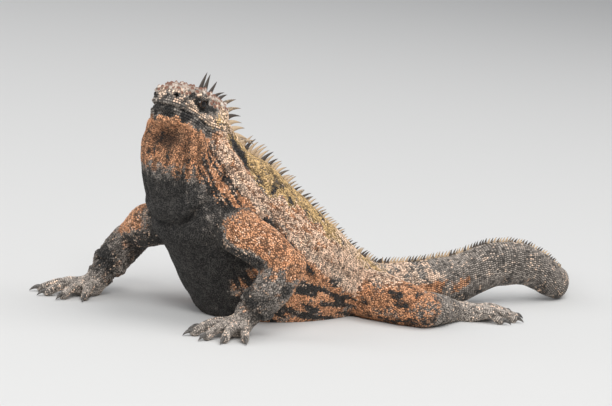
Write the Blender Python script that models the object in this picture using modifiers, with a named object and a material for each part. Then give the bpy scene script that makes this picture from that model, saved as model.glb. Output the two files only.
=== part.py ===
"""A marine iguana propped up on its front legs, life size, as a still museum model.

Blender works in metres with +Z up. +X is the way the trunk faces and +Y is the animal's left side. The body
tables are in millimetres, measured from the floor below the middle of the pelvis, and the finished model is
moved so that the origin is the bottom centre of its box.
"""

import math
import random

import bmesh
import bpy
import numpy as np
from mathutils import Matrix, Vector
from mathutils.bvhtree import BVHTree

MM = 0.001
GAP = 0.3
CUT_SIDES = 28
FLESH_VOXEL = 1.1
FLESH_SMOOTHING = 6
HEAD_TRIANGLES = 2900
BODY_TRIANGLES = 5200

# The head has its own frame: a forward, b to the left, c up, from the middle of the neck joint.
HEAD_SEAT = (139.6, -6.3, 137.4)
HEAD_YAW = 14.0
HEAD_PITCH = 17.0
HEAD_ROLL = 2.0

EYE = (28.5, 12.2, 7.6)
EYE_RADIUS = 5.0
SOCKET_GAP = 0.48
NOSTRIL = (49.5, 6.8, 6.6)
EAR = (3.0, 24.0, 0.0)
MOUTH_CORNER = (23.0, -6.4)
MOUTH_MIDDLE = (36.0, -2.4)
MOUTH_FRONT = (53.0, -0.8)

# Each row of a body table is a section: x, y, z of its middle, half width, height above, depth below.
TRUNK = (
    (-40, 2, 16, 19, 15, 24),
    (-22, 1, 20, 26, 18, 34),
    (0, 0, 25, 34, 23, 45),
    (28, 0, 34, 43, 31, 62),
    (58, 0, 46, 49, 37, 74),
    (86, -1, 61, 50, 40, 71),
    (112, -2, 78, 48, 41, 59),
    (132, -3, 93, 43, 37, 48),
    (144, -4, 112, 35, 33, 37),
    (149, -5, 127, 27, 29, 29),
    (151, -6, 136, 22, 23, 24),
)
NAPE = (
    (140, -8, 148, 7, 8, 8),
    (127, -9, 142, 7, 7, 9),
    (120, -8, 131, 7, 6, 9),
    (113, -5, 121, 8, 5, 9),
    (102, -3, 113, 9, 3, 9),
)
THROAT = (
    (174, 3, 136, 23, 10, 9),
    (171, 2, 122, 25.5, 20, 15),
    (166, 0, 105, 25.5, 26, 17),
    (160, -2, 88, 25, 26, 16),
    (152, -3, 77, 21, 22, 13),
)
TAIL = (
    (-18, 1, 20, 25, 18, 24),
    (-45, 2, 16.5, 20, 16, 20),
    (-80, 5, 17.5, 17, 17, 18.5),
    (-115, 10, 20, 14, 19, 20),
    (-150, 15, 31, 12, 18, 18),
    (-176, 18, 31.5, 10.5, 17, 17),
    (-199, 19, 26.5, 9.5, 15, 15),
    (-222, 17.5, 16.5, 8.8, 13, 14),
    (-241, 8, 12, 8.2, 12, 12.5),
    (-263, -16, 10.5, 7.2, 10.5, 11),
    (-293, -52, 8.5, 5.6, 8.5, 9),
    (-322, -88, 6.5, 4.2, 6.5, 7),
    (-342, -125, 4.5, 3, 4.5, 5),
    (-350, -165, 2.8, 1.8, 2.8, 3),
)
CRANIUM = (
    (-9, 0, -1, 13.5, 14, 19),
    (2, 0, 2, 19, 16, 19),
    (16, 0, 3, 19, 15.5, 14),
    (28, 0, 3.5, 16.5, 15, 11),
    (40, 0, 3.5, 14, 13, 10),
    (48, 0, 3.5, 12.3, 10.5, 9.5),
)
JAW = (
    (-12, 0, -12, 26, 12, 14),
    (4, 0, -11, 26, 12, 13),
    (18, 0, -9, 22, 11, 11),
    (32, 0, -7.5, 19, 9.5, 9),
    (44, 0, -6.5, 15, 8.5, 7),
)
UPPER_ARM_LEFT = (
    (132, 20, 70, 14, 15, 15),
    (138, 45, 68, 15.5, 16, 16),
    (131, 62, 60, 14.5, 15, 15),
    (124, 74, 52, 13, 13, 13),
)
FOREARM_LEFT = (
    (122, 77, 51, 13, 13, 13),
    (127, 75, 42, 14, 14, 14),
    (133, 70, 29, 12.5, 13, 13),
    (140, 62, 15, 10, 10, 10),
)
UPPER_ARM_RIGHT = (
    (134, -24, 62, 14, 15, 15),
    (142, -48, 58, 15, 15.5, 15.5),
    (134, -70, 50, 14, 14.5, 14.5),
    (126, -85, 44, 13, 13, 13),
)
FOREARM_RIGHT = (
    (124, -88, 42, 13, 13, 13),
    (133, -87, 37, 13.5, 13.5, 13.5),
    (147, -84, 26, 12.5, 12.5, 12.5),
    (160, -81, 14, 10, 10, 10),
)
THIGH = (
    (2, 22, 18, 20, 18, 18),
    (-5, 40, 17, 19, 17.5, 18),
    (-12, 57, 15.5, 18, 16, 16.5),
    (-20, 71, 13.5, 14.5, 13.5, 14.5),
)
SHANK = (
    (-20, 71, 13, 13.5, 13, 14),
    (-34, 68, 12, 13.5, 12.5, 13),
    (-50, 64, 10, 11, 10.5, 11),
    (-65, 61, 8, 9, 8, 9),
)
HANDS = {
    "left": {"wrist": (141, 61, 11), "heading": 8.0, "spread": (48, 24, 4, -18, -46), "palm": 20.0},
    "right": {"wrist": (162, -80, 11), "heading": -8.0, "spread": (50, 26, 4, -18, -44), "palm": 20.0},
}
FINGER_LENGTHS = (15, 20, 23, 22, 16)
FINGER_THICK = 6.2
FEET = {
    "left": {"wrist": (-67, 60, 7.5), "heading": 172.0, "spread": (-34, -17, -2, 14, 42), "palm": 26.0},
    "right": {"wrist": (-67, -60, 7.5), "heading": -172.0, "spread": (34, 17, 2, -14, -42), "palm": 26.0},
}
TOE_LENGTHS = (16, 24, 32, 37, 24)
TOE_THICK = 6.2
KNUCKLE_HEIGHT = 8.5
SOLE_PRESS = 0.8
CLAW_LENGTH = 8.5
CLAW_ROOT = 2.3
TOE_CLAW_LENGTH = 8.5
LID_OPENING = (3.9, 2.9)
TUBERCLE_ROWS = 12
TUBERCLE_BACK = -3.0
TUBERCLE_FRONT = 51.0
TUBERCLE_SPACING = 5.2
TUBERCLE_WIDTH = 4.4
TUBERCLE_HEIGHT = 3.2
TUBERCLE_ROOT = 1.6
SPINE_ROOT = 2.6
SPINE_LEAN = 0.3
SPINE_LENGTH = (2.4, 0.17)
SPINE_WIDTH = (1.3, 0.08)
SPINE_SPACINGS = ((0, 5.2), (60, 5.2), (90, 5.4), (200, 5.8), (300, 7.5), (650, 9.0))
SPINE_CLEARANCE = 2.8

# Where the head leaves the neck, and the other cuts through the trunk and tail: middle, direction and radius.
HEAD_CUT = ((146, -3, 126), (0.42, 0.06, 0.91), 80)
BODY_CUTS = (
    ((133, -3, 98), (0.58, 0, 0.81), 60),
    ((52, 0, 42), (0.93, 0, 0.37), 62),
    ((-30, 1, 19), (1, -0.05, 0.1), 30),
    ((-88, 6, 18), (1, -0.14, 0), 26),
    ((-150, 15, 31), (1, -0.15, 0), 24),
    ((-220, 17.5, 17), (0.92, 0.2, 0.33), 22),
    ((-293, -52, 8.5), (0.63, 0.77, 0), 16),
)
ARM_ROOT = 5.0
LEG_ROOT = 6.0
CREST_ON_HEAD = ((16, 0, 20), (5, 0, 20), (-6, 0, 17))
CREST_ON_NAPE = ((121, -9, 144), (112, -7, 132))
NAPE_UP = (-0.8, 0.0, 0.6)
SPINE_HEIGHTS = (
    (0, 17), (8, 17), (14, 14.5), (30, 13.5), (60, 11.5), (90, 9.5), (140, 8), (200, 6), (235, 4.5), (330, 4.5), (650, 1.8)
)
LIMB_CUT_RADIUS = {"shoulder": 24, "elbow": 27, "wrist": 15, "hip": 26, "knee": 26, "ankle": 15}
TRUNK_NODES = {
    "neck": (146, -4, 112),
    "torso_front": (92, 0, 62),
    "torso_rear": (15, 0, 30),
    "tail_1": (-60, 3, 17),
    "tail_2": (-118, 10, 20),
    "tail_3": (-178, 19, 31),
    "tail_4": (-258, -11, 11),
    "tail_5": (-322, -88, 6),
}

# Colour and roughness by the first word of a node's name.
FINISHES = {
    "head": ((0.33, 0.27, 0.22), 0.75),
    "neck": ((0.16, 0.10, 0.07), 0.75),
    "torso": ((0.27, 0.14, 0.07), 0.75),
    "tail": ((0.10, 0.09, 0.08), 0.75),
    "upper_arm": ((0.36, 0.17, 0.09), 0.75),
    "forearm": ((0.06, 0.055, 0.05), 0.7),
    "thigh": ((0.30, 0.13, 0.06), 0.75),
    "shank": ((0.12, 0.10, 0.09), 0.75),
    "hand": ((0.12, 0.115, 0.10), 0.7),
    "foot": ((0.12, 0.115, 0.10), 0.7),
    "claw": ((0.22, 0.21, 0.20), 0.45),
    "eye": ((0.03, 0.018, 0.012), 0.15),
}


def vec(values):
    return Vector(values)


def turned(yaw, pitch=0.0, roll=0.0):
    """The rotation that yaws about Z, then pitches the nose up, then rolls, in degrees."""
    return (
        Matrix.Rotation(math.radians(yaw), 4, "Z")
        @ Matrix.Rotation(-math.radians(pitch), 4, "Y")
        @ Matrix.Rotation(math.radians(roll), 4, "X")
    )


HEAD = Matrix.Translation(vec(HEAD_SEAT)) @ turned(HEAD_YAW, HEAD_PITCH, HEAD_ROLL)


def mirrored(rows):
    return tuple((row[0], -row[1], *row[2:]) for row in rows)


def collection_named(name):
    made = bpy.data.collections.new(name)
    bpy.context.scene.collection.children.link(made)
    return made


def object_of(name, mesh, home):
    """A new object from a bmesh whose points are in millimetres."""
    bmesh.ops.recalc_face_normals(mesh, faces=mesh.faces)
    bmesh.ops.scale(mesh, vec=(MM, MM, MM), verts=mesh.verts)
    data = bpy.data.meshes.new(name)
    mesh.to_mesh(data)
    mesh.free()
    made = bpy.data.objects.new(name, data)
    home.objects.link(made)
    return made


def smooth_rows(rows, spacing):
    """Rows along a smooth curve through the given rows, evenly spaced along its middle line."""
    rows = np.array(rows, float)
    padded = np.vstack([2 * rows[0] - rows[1], rows, 2 * rows[-1] - rows[-2]])
    fine = []
    steps = np.linspace(0, 1, 16, endpoint=False)[:, None]
    for p, q, r, s in zip(padded, padded[1:], padded[2:], padded[3:]):
        fine.append(
            0.5 * (2 * q + (r - p) * steps + (2 * p - 5 * q + 4 * r - s) * steps**2
                   + (3 * q - p - 3 * r + s) * steps**3)
        )
    fine = np.vstack(fine + [rows[-1:]])
    run = np.concatenate([[0], np.cumsum(np.linalg.norm(np.diff(fine[:, :3], axis=0), axis=1))])
    count = max(4, int(round(run[-1] / spacing)))
    wanted = np.linspace(0, run[-1], count)
    return np.column_stack([np.interp(wanted, run, fine[:, k]) for k in range(fine.shape[1])])


def row_frame(rows, k):
    """The side, up and forward directions of row k, with up as near +Z as it can be."""
    along = vec(rows[min(k + 1, len(rows) - 1)][:3]) - vec(rows[max(k - 1, 0)][:3])
    along.normalize()
    side = Vector((0, 0, 1)).cross(along)
    if side.length < 0.15:
        side = Vector((0, 1, 0))
    side.normalize()
    return side, along.cross(side).normalized(), along


def add_loft(mesh, rows, sides=18, spacing=4.0, ends=(1.0, 1.0), turn=None, boxy=1.0):
    """Adds a closed tube with rounded ends to the bmesh. The ends say how far each end bulges.

    A boxy value under 1 squares the sections, and turn places the whole tube.
    """
    rows = smooth_rows(rows, spacing)
    last = len(rows) - 1
    plan = [(0, -width) for width in (0.4, 0.75, 0.94)] + [(k, 0.0) for k in range(last + 1)]
    plan += [(last, width) for width in (0.94, 0.75, 0.4)]
    rings = []
    for k, cap in plan:
        middle, (half, above, below) = vec(rows[k][:3]), rows[k][3:6]
        side, up, along = row_frame(rows, k)
        width = abs(cap) or 1.0
        bulge = math.copysign(math.sqrt(1 - width * width), cap) * min(half, above, below)
        middle = middle + along * bulge * (ends[0] if cap < 0 else ends[1])
        ring = []
        for s in range(sides):
            c, n = math.cos(2 * math.pi * s / sides), math.sin(2 * math.pi * s / sides)
            c, n = math.copysign(abs(c) ** boxy, c), math.copysign(abs(n) ** boxy, n)
            point = middle + (side * half * c + up * (above if n > 0 else below) * n) * width
            ring.append(mesh.verts.new(turn @ point if turn else point))
        rings.append(ring)
    for a, b in zip(rings, rings[1:]):
        for s in range(sides):
            mesh.faces.new((a[s - 1], a[s], b[s], b[s - 1]))
    mesh.faces.new(rings[0])
    mesh.faces.new(rings[-1][::-1])


def add_ball(mesh, middle, radii, turn=None):
    """Adds an egg shape to the bmesh."""
    made = bmesh.ops.create_uvsphere(mesh, u_segments=16, v_segments=10, radius=1.0)["verts"]
    bmesh.ops.scale(mesh, vec=radii, verts=made)
    bmesh.ops.translate(mesh, vec=middle, verts=made)
    if turn:
        bmesh.ops.transform(mesh, matrix=turn, verts=made)


def finger_rays(limb, lengths):
    """Start, end and direction of each finger of a hand or foot, thumb side first."""
    wrist = vec(limb["wrist"])
    rays = []
    for k, (spread, length) in enumerate(zip(limb["spread"], lengths)):
        turn = math.radians(limb["heading"] + spread)
        base_turn = math.radians(limb["heading"] + spread * 0.75)
        out = Vector((math.cos(turn), math.sin(turn), 0))
        base_out = Vector((math.cos(base_turn), math.sin(base_turn), 0))
        base = wrist + base_out * limb["palm"] * (0.78 if k in (0, 4) else 1.0)
        base.z = KNUCKLE_HEIGHT
        rays.append((base, base + out * length, out))
    return rays


def add_hand(mesh, limb, lengths, thick):
    """Adds a palm and its five fingers, flat on the floor."""
    wrist = vec(limb["wrist"])
    half = thick * 0.5
    for base, tip, out in finger_rays(limb, lengths):
        knuckle = base + (tip - base) * 0.45
        rows = (
            (*(wrist + (base - wrist) * 0.15), 6.5, 6.5, wrist.z + SOLE_PRESS),
            (*(wrist + (base - wrist) * 0.6).to_2d(), KNUCKLE_HEIGHT, 5.0, 5.0, KNUCKLE_HEIGHT + SOLE_PRESS),
            (*base.to_2d(), KNUCKLE_HEIGHT, half * 1.15, 3.6, KNUCKLE_HEIGHT * 0.9),
            (*knuckle.to_2d(), KNUCKLE_HEIGHT - 0.6, half * 1.05, 3.2, 4.5),
            (*tip.to_2d(), half, half, half * 0.9, half + SOLE_PRESS),
        )
        add_loft(mesh, rows, sides=12, spacing=2.5, ends=(0.6, 1.2))


def flesh_mesh():
    """The whole animal in one closed skin: lofts and egg shapes fused by a voxel remesh, then smoothed."""
    mesh = bmesh.new()
    add_loft(mesh, TRUNK, sides=32)
    add_loft(mesh, THROAT, sides=24)
    add_loft(mesh, NAPE)
    add_loft(mesh, TAIL, sides=20)
    add_loft(mesh, CRANIUM, sides=32, ends=(0.5, 0.7), turn=HEAD, boxy=0.75)
    add_loft(mesh, JAW, sides=32, ends=(0.6, 0.8), turn=HEAD, boxy=0.75)
    for side in (1, -1):
        add_ball(mesh, (8, side * 15, -7), (16, 11.5, 13), HEAD)
        add_ball(mesh, (16, side * 13, 0), (15, 9, 12), HEAD)
        add_ball(mesh, (28, side * 10.5, 12.5), (12, 6.5, 5.5), HEAD)
        add_ball(mesh, (48, side * 6, 7), (6, 5.5, 6), HEAD)
    for rows in (UPPER_ARM_LEFT, FOREARM_LEFT, UPPER_ARM_RIGHT, FOREARM_RIGHT):
        add_loft(mesh, rows)
    for rows in (THIGH, SHANK):
        add_loft(mesh, rows)
        add_loft(mesh, mirrored(rows))
    for limb in HANDS.values():
        add_hand(mesh, limb, FINGER_LENGTHS, FINGER_THICK)
    for limb in FEET.values():
        add_hand(mesh, limb, TOE_LENGTHS, TOE_THICK)
    home = collection_named("clay")
    clay = object_of("clay", mesh, home)
    remesh = clay.modifiers.new("fuse", "REMESH")
    remesh.mode = "VOXEL"
    remesh.voxel_size = FLESH_VOXEL * MM
    smooth = clay.modifiers.new("smooth", "SMOOTH")
    smooth.factor = 0.5
    smooth.iterations = FLESH_SMOOTHING
    data = bpy.data.meshes.new_from_object(clay.evaluated_get(bpy.context.evaluated_depsgraph_get()))
    bpy.data.objects.remove(clay, do_unlink=True)
    bpy.data.collections.remove(home)
    return data


def evaluated(piece):
    """A mesh of the object as its modifiers leave it."""
    return bpy.data.meshes.new_from_object(piece.evaluated_get(bpy.context.evaluated_depsgraph_get()))


def points_of(data):
    """The points and normals of a mesh, in millimetres."""
    count = len(data.vertices)
    points = np.empty(count * 3)
    normals = np.empty(count * 3)
    data.vertices.foreach_get("co", points)
    data.vertex_normals.foreach_get("vector", normals)
    return points.reshape(-1, 3) / MM, normals.reshape(-1, 3)


def set_points(data, points):
    data.vertices.foreach_set("co", (points * MM).ravel())
    data.update()


def above_floor(points):
    """The same points with those below the floor lifted onto it."""
    points[:, 2] = np.maximum(points[:, 2], 0)
    return points


def bell(distance, width):
    return np.exp(-((distance / width) ** 2))


def ramp(value, low, high):
    """0 below low, 1 above high and smooth between them."""
    share = np.clip((value - low) / (high - low), 0, 1)
    return share * share * (3 - 2 * share)


def mouth_height(a):
    """The height of the closed mouth line along the head, from its corner to its front."""
    stops = (MOUTH_CORNER, MOUTH_MIDDLE, MOUTH_FRONT)
    return np.interp(a, [stop[0] for stop in stops], [stop[1] for stop in stops])


def carve_head(points, normals):
    """Cuts the mouth line, nostrils, ear cups and lids into the skin, all in the head's own frame."""
    frame = np.array(HEAD.inverted())
    local = points @ frame[:3, :3].T + frame[:3, 3]
    facing = normals @ frame[:3, :3].T
    side = np.where(local[:, 1] >= 0, 1.0, -1.0)
    a, b, c = local[:, 0], local[:, 1] * side, local[:, 2]
    push = np.zeros(len(points))

    above_mouth = c - mouth_height(a)
    in_mouth = ramp(a, MOUTH_CORNER[0] - 2, MOUTH_CORNER[0] + 3) * (local[:, 0] > 0)
    push -= 1.9 * bell(above_mouth, 1.1) * in_mouth
    push += 0.7 * (bell(above_mouth - 2.6, 1.5) + bell(above_mouth + 2.6, 1.6)) * in_mouth

    from_nostril = np.sqrt((a - NOSTRIL[0]) ** 2 + ((b - NOSTRIL[1]) * 0.9) ** 2 + (c - NOSTRIL[2]) ** 2)
    push += 0.9 * bell(from_nostril, 3.6) - 3.2 * bell(from_nostril, 1.5)

    from_ear = np.sqrt(((a - EAR[0]) / 3.4) ** 2 + ((c - EAR[2]) / 4.6) ** 2)
    on_side = ramp(facing[:, 1] * side, 0.2, 0.5)
    push += (1.0 * bell(from_ear - 1.25, 0.45) - 2.2 * bell(from_ear, 0.85)) * on_side * (b > 8)

    local += facing * push[:, None]

    socket = np.column_stack([a - EYE[0], b - EYE[1], c - EYE[2]])
    reach = np.linalg.norm(socket, axis=1)
    out = socket / np.maximum(reach, 1e-6)[:, None]
    spread = np.hypot(out[:, 0] / LID_OPENING[0], out[:, 2] / LID_OPENING[1]) * EYE_RADIUS
    lid = EYE_RADIUS + np.where(spread < 1, -1.6, 0.8 + 0.5 * bell(spread - 1.15, 0.25))
    near = (1 - ramp(spread, 1.3, 1.7)) * ramp(out[:, 1], 0.05, 0.45) * (1 - ramp(reach, 6.5, 9.5))
    moved = (lid - reach)[:, None] * out * near[:, None]
    moved[:, 1] *= side
    local += moved
    back = np.array(HEAD)
    return local @ back[:3, :3].T + back[:3, 3]


def fewer_triangles(piece, wanted):
    """Decimates the object's mesh to about the wanted number of triangles and applies it."""
    piece.data.calc_loop_triangles()
    modifier = piece.modifiers.new("fewer", "DECIMATE")
    modifier.ratio = wanted / len(piece.data.loop_triangles)
    apply_modifiers(piece)


def apply_modifiers(piece):
    made = evaluated(piece)
    old = piece.data
    piece.modifiers.clear()
    piece.data = made
    bpy.data.meshes.remove(old)


def trim(piece, middle, normal):
    """Cuts off what lies on the side of the plane that the normal points to, and closes the cut."""
    mesh = bmesh.new()
    mesh.from_mesh(piece.data)
    everything = mesh.verts[:] + mesh.edges[:] + mesh.faces[:]
    cut = bmesh.ops.bisect_plane(
        mesh, geom=everything, dist=1e-7, plane_co=vec(middle) * MM, plane_no=normal, clear_outer=True
    )
    rim = [item for item in cut["geom_cut"] if isinstance(item, bmesh.types.BMEdge)]
    bmesh.ops.edgeloop_fill(mesh, edges=rim)
    bmesh.ops.triangulate(mesh, faces=mesh.faces)
    mesh.to_mesh(piece.data)
    mesh.free()


def largest_body(piece):
    """Keeps only the largest closed surface of the object."""
    mesh = bmesh.new()
    mesh.from_mesh(piece.data)
    bodies = loose_bodies(mesh)
    bodies.sort(key=len)
    scraps = [face for body in bodies[:-1] for face in body]
    bmesh.ops.delete(mesh, geom=scraps, context="FACES")
    bmesh.ops.delete(mesh, geom=[vert for vert in mesh.verts if not vert.link_faces], context="VERTS")
    bmesh.ops.triangulate(mesh, faces=mesh.faces)
    mesh.to_mesh(piece.data)
    mesh.free()


def loose_bodies(mesh):
    """The faces of each separate surface of a bmesh."""
    mesh.faces.ensure_lookup_table()
    seen = set()
    bodies = []
    for face in mesh.faces:
        if face in seen:
            continue
        seen.add(face)
        body = []
        waiting = [face]
        while waiting:
            now = waiting.pop()
            body.append(now)
            for edge in now.edges:
                for other in edge.link_faces:
                    if other not in seen:
                        seen.add(other)
                        waiting.append(other)
        bodies.append(body)
    return bodies


def combine(piece, tools, operation, solver="EXACT"):
    """Applies one Boolean with all the tools, then removes them."""
    home = collection_named("tools")
    for tool in tools:
        for old in list(tool.users_collection):
            old.objects.unlink(tool)
        home.objects.link(tool)
    modifier = piece.modifiers.new("combine", "BOOLEAN")
    modifier.operation = operation
    modifier.operand_type = "COLLECTION"
    modifier.collection = home
    modifier.solver = solver
    apply_modifiers(piece)
    for tool in tools:
        bpy.data.objects.remove(tool, do_unlink=True)
    bpy.data.collections.remove(home)


def disc(middle, normal, radius, thick=GAP, sides=CUT_SIDES):
    """A thin disc that parts two nodes."""
    mesh = bmesh.new()
    bmesh.ops.create_cone(mesh, cap_ends=True, segments=sides, radius1=radius, radius2=radius, depth=thick)
    turn = vec(normal).to_track_quat("Z", "Y").to_matrix().to_4x4()
    bmesh.ops.transform(mesh, matrix=Matrix.Translation(vec(middle)) @ turn, verts=mesh.verts)
    return object_of("disc", mesh, bpy.context.scene.collection)


def finger_stops(limb, lengths, thick):
    """Where each finger is cut square for its claw, with the direction that the claw takes."""
    stops = []
    for base, tip, out in finger_rays(limb, lengths):
        stops.append((Vector((tip.x, tip.y, thick * 0.5)) - out * 0.6, out))
    return stops


def claw_mesh(middle, out, size):
    """A claw that rises a little, then curves down to the floor, from a flat root."""
    mesh = bmesh.new()
    side = Vector((0, 0, 1)).cross(out)
    sides = 6
    shares = (0.0, 0.4, 0.75)
    rings = []
    for share in shares:
        lift = 0.9 * math.sin(math.pi * share) - (middle.z - 0.75) * share**2
        centre = middle + out * (GAP + size * share) + Vector((0, 0, lift))
        radius = CLAW_ROOT * (1 - share) ** 0.75
        ring = []
        for s in range(sides):
            turn = 2 * math.pi * s / sides
            point = centre + side * (0.8 * radius * math.cos(turn)) + Vector((0, 0, radius * math.sin(turn)))
            ring.append(mesh.verts.new(point))
        rings.append(ring)
    tip = mesh.verts.new(middle + out * (GAP + size) + Vector((0, 0, 0.45 - middle.z)))
    for near, far in zip(rings, rings[1:]):
        for s in range(sides):
            mesh.faces.new((near[s - 1], near[s], far[s], far[s - 1]))
    for s in range(sides):
        mesh.faces.new((rings[-1][s - 1], rings[-1][s], tip))
    mesh.faces.new(rings[0])
    bmesh.ops.triangulate(mesh, faces=mesh.faces)
    return mesh


def add_spine(mesh, root, up, back, height):
    """One crest spine: a curved, flattened, tapering blade whose root is sunk in the skin."""
    side = up.cross(back).normalized()
    length = SPINE_LENGTH[0] + SPINE_LENGTH[1] * height
    width = SPINE_WIDTH[0] + SPINE_WIDTH[1] * height
    rings = []
    for share, lean, size in ((-SPINE_ROOT / height, 0.0, 1.0), (0.6, 0.35 * SPINE_LEAN, 0.5)):
        middle = root + up * height * share + back * height * lean
        rings.append([
            mesh.verts.new(middle - back * length * 0.5 * size),
            mesh.verts.new(middle + side * width * 0.5 * size),
            mesh.verts.new(middle + back * length * 0.5 * size),
            mesh.verts.new(middle - side * width * 0.5 * size),
        ])
    tip = mesh.verts.new(root + up * height + back * height * SPINE_LEAN)
    for near, far in zip(rings, rings[1:]):
        for s in range(4):
            mesh.faces.new((near[s - 1], near[s], far[s], far[s - 1]))
    for s in range(4):
        mesh.faces.new((rings[-1][s - 1], rings[-1][s], tip))
    mesh.faces.new(rings[0])


def tubercles(skin):
    """The cones that stand on the head, biggest on the snout and over the eyes, each as a small object."""
    chance = random.Random(5)
    made = []
    down = HEAD.to_3x3() @ Vector((0, 0, -1))
    for row in range(TUBERCLE_ROWS):
        a = TUBERCLE_BACK + (TUBERCLE_FRONT - TUBERCLE_BACK) * row / (TUBERCLE_ROWS - 1)
        reach = float(np.interp(a, (0, 28, 50), (15, 14, 9)))
        across = max(3, round(2 * reach / TUBERCLE_SPACING))
        for k in range(across):
            b = -reach + 2 * reach * (k + 0.5 * (row % 2)) / (across - 0.5)
            if abs(b) < 2.5 and a < CREST_ON_HEAD[0][0] + 3:
                continue
            above = HEAD @ Vector((a + chance.uniform(-0.6, 0.6), b + chance.uniform(-0.6, 0.6), 40))
            root, normal = skin.ray_cast(above * MM, down)[:2]
            height = TUBERCLE_HEIGHT * chance.uniform(0.75, 1.2) * (1.0 if a > 12 else 0.75)
            width = TUBERCLE_WIDTH * chance.uniform(0.85, 1.1)
            cone = bmesh.new()
            bmesh.ops.create_cone(
                cone, cap_ends=True, segments=5, radius1=width / 2, radius2=0.35, depth=height + TUBERCLE_ROOT
            )
            bmesh.ops.translate(cone, vec=(0, 0, (height - TUBERCLE_ROOT) / 2), verts=cone.verts)
            lie = (normal * 0.7 - down * 0.5).normalized().to_track_quat("Z", "X").to_matrix().to_4x4()
            bmesh.ops.transform(cone, matrix=Matrix.Translation(root / MM) @ lie, verts=cone.verts)
            made.append(object_of("tubercle", cone, bpy.context.scene.collection))
    return made


def limb_cuts():
    """The discs at every shoulder, elbow, wrist, hip, knee and ankle."""
    limbs = (
        (UPPER_ARM_LEFT, FOREARM_LEFT, HANDS["left"], ("shoulder", "elbow", "wrist"), ARM_ROOT),
        (UPPER_ARM_RIGHT, FOREARM_RIGHT, HANDS["right"], ("shoulder", "elbow", "wrist"), ARM_ROOT),
        (THIGH, SHANK, FEET["left"], ("hip", "knee", "ankle"), LEG_ROOT),
        (mirrored(THIGH), mirrored(SHANK), FEET["right"], ("hip", "knee", "ankle"), LEG_ROOT),
    )
    cuts = []
    for upper, lower, limb, names, root in limbs:
        top, second, joint, end = vec(upper[0][:3]), vec(upper[1][:3]), vec(lower[0][:3]), vec(lower[-1][:3])
        along_upper = (vec(upper[-1][:3]) - second).normalized()
        along_lower = (end - joint).normalized()
        cuts.append((second + (second - top).normalized() * root, (joint - top), LIMB_CUT_RADIUS[names[0]]))
        cuts.append((joint, along_upper + along_lower, LIMB_CUT_RADIUS[names[1]]))
        cuts.append((end - along_lower * 2, along_lower, LIMB_CUT_RADIUS[names[2]]))
    return cuts


def limb_nodes():
    """The name of each limb node with a point near its middle."""
    nodes = {}
    for side, upper, lower in (("left", UPPER_ARM_LEFT, FOREARM_LEFT), ("right", UPPER_ARM_RIGHT, FOREARM_RIGHT)):
        nodes["upper_arm_" + side] = vec(upper[2][:3])
        nodes["forearm_" + side] = vec(lower[2][:3])
        nodes["hand_" + side] = vec(HANDS[side]["wrist"]) - Vector((0, 0, 4))
    for side, thigh, shank in (("left", THIGH, SHANK), ("right", mirrored(THIGH), mirrored(SHANK))):
        nodes["thigh_" + side] = vec(thigh[2][:3])
        nodes["shank_" + side] = vec(shank[2][:3])
        nodes["foot_" + side] = vec(FEET[side]["wrist"]) - Vector((0, 0, 3))
    return nodes


def claw_places():
    """The name, cut point, direction and length of every claw."""
    places = []
    for limbs, lengths, thick, kind, size in (
        (HANDS, FINGER_LENGTHS, FINGER_THICK, "finger", CLAW_LENGTH),
        (FEET, TOE_LENGTHS, TOE_THICK, "toe", TOE_CLAW_LENGTH),
    ):
        for side, limb in limbs.items():
            for k, (stop, out) in enumerate(finger_stops(limb, lengths, thick)):
                places.append((f"claw_{kind}_{side}_{k + 1}", stop, out, size))
    return places


def fingertip_cutter(stop, out):
    """A short cylinder that cuts a fingertip square, from the cut point outward."""
    depth = 8.0
    return disc(stop + out * depth / 2, out, FINGER_THICK * 0.85, thick=depth, sides=12)


def split_nodes(piece, anchors):
    """Gives each loose body of the object the name of the anchor point nearest to it, and drops the scraps."""
    mesh = bmesh.new()
    mesh.from_mesh(piece.data)
    bodies = []
    for faces in loose_bodies(mesh):
        if len(faces) < 20:
            continue
        single = bmesh.new()
        copies = {}
        for face in faces:
            for vert in face.verts:
                if vert not in copies:
                    copies[vert] = single.verts.new(vert.co)
            single.faces.new([copies[vert] for vert in face.verts])
        bmesh.ops.triangulate(single, faces=single.faces)
        bodies.append(single)
    mesh.free()
    bpy.data.objects.remove(piece, do_unlink=True)
    made = {}
    for name, anchor in anchors.items():
        reach = [BVHTree.FromBMesh(body).find_nearest(vec(anchor) * MM)[3] for body in bodies]
        body = bodies[reach.index(min(reach))]
        data = bpy.data.meshes.new(name)
        body.to_mesh(data)
        made[name] = bpy.data.objects.new(name, data)
        bpy.context.scene.collection.objects.link(made[name])
    return made


def crest_rows():
    """The line of the crest over the head, nape, back and tail: points, each with its upward direction."""
    rows = [(*(HEAD @ vec(point)), *HEAD.col[2][:3]) for point in CREST_ON_HEAD]
    rows += [(*point, *NAPE_UP) for point in CREST_ON_NAPE]
    trunk = smooth_rows(TRUNK[:8], 8.0)
    tail = smooth_rows(TAIL[1:], 8.0)
    for part, order in ((trunk, -1), (tail, 1)):
        for k in range(len(part))[::order]:
            up = row_frame(part, k)[1]
            rows.append((*(vec(part[k][:3]) + up * part[k][4]), *up))
    return smooth_rows(rows, 1.0)


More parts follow.
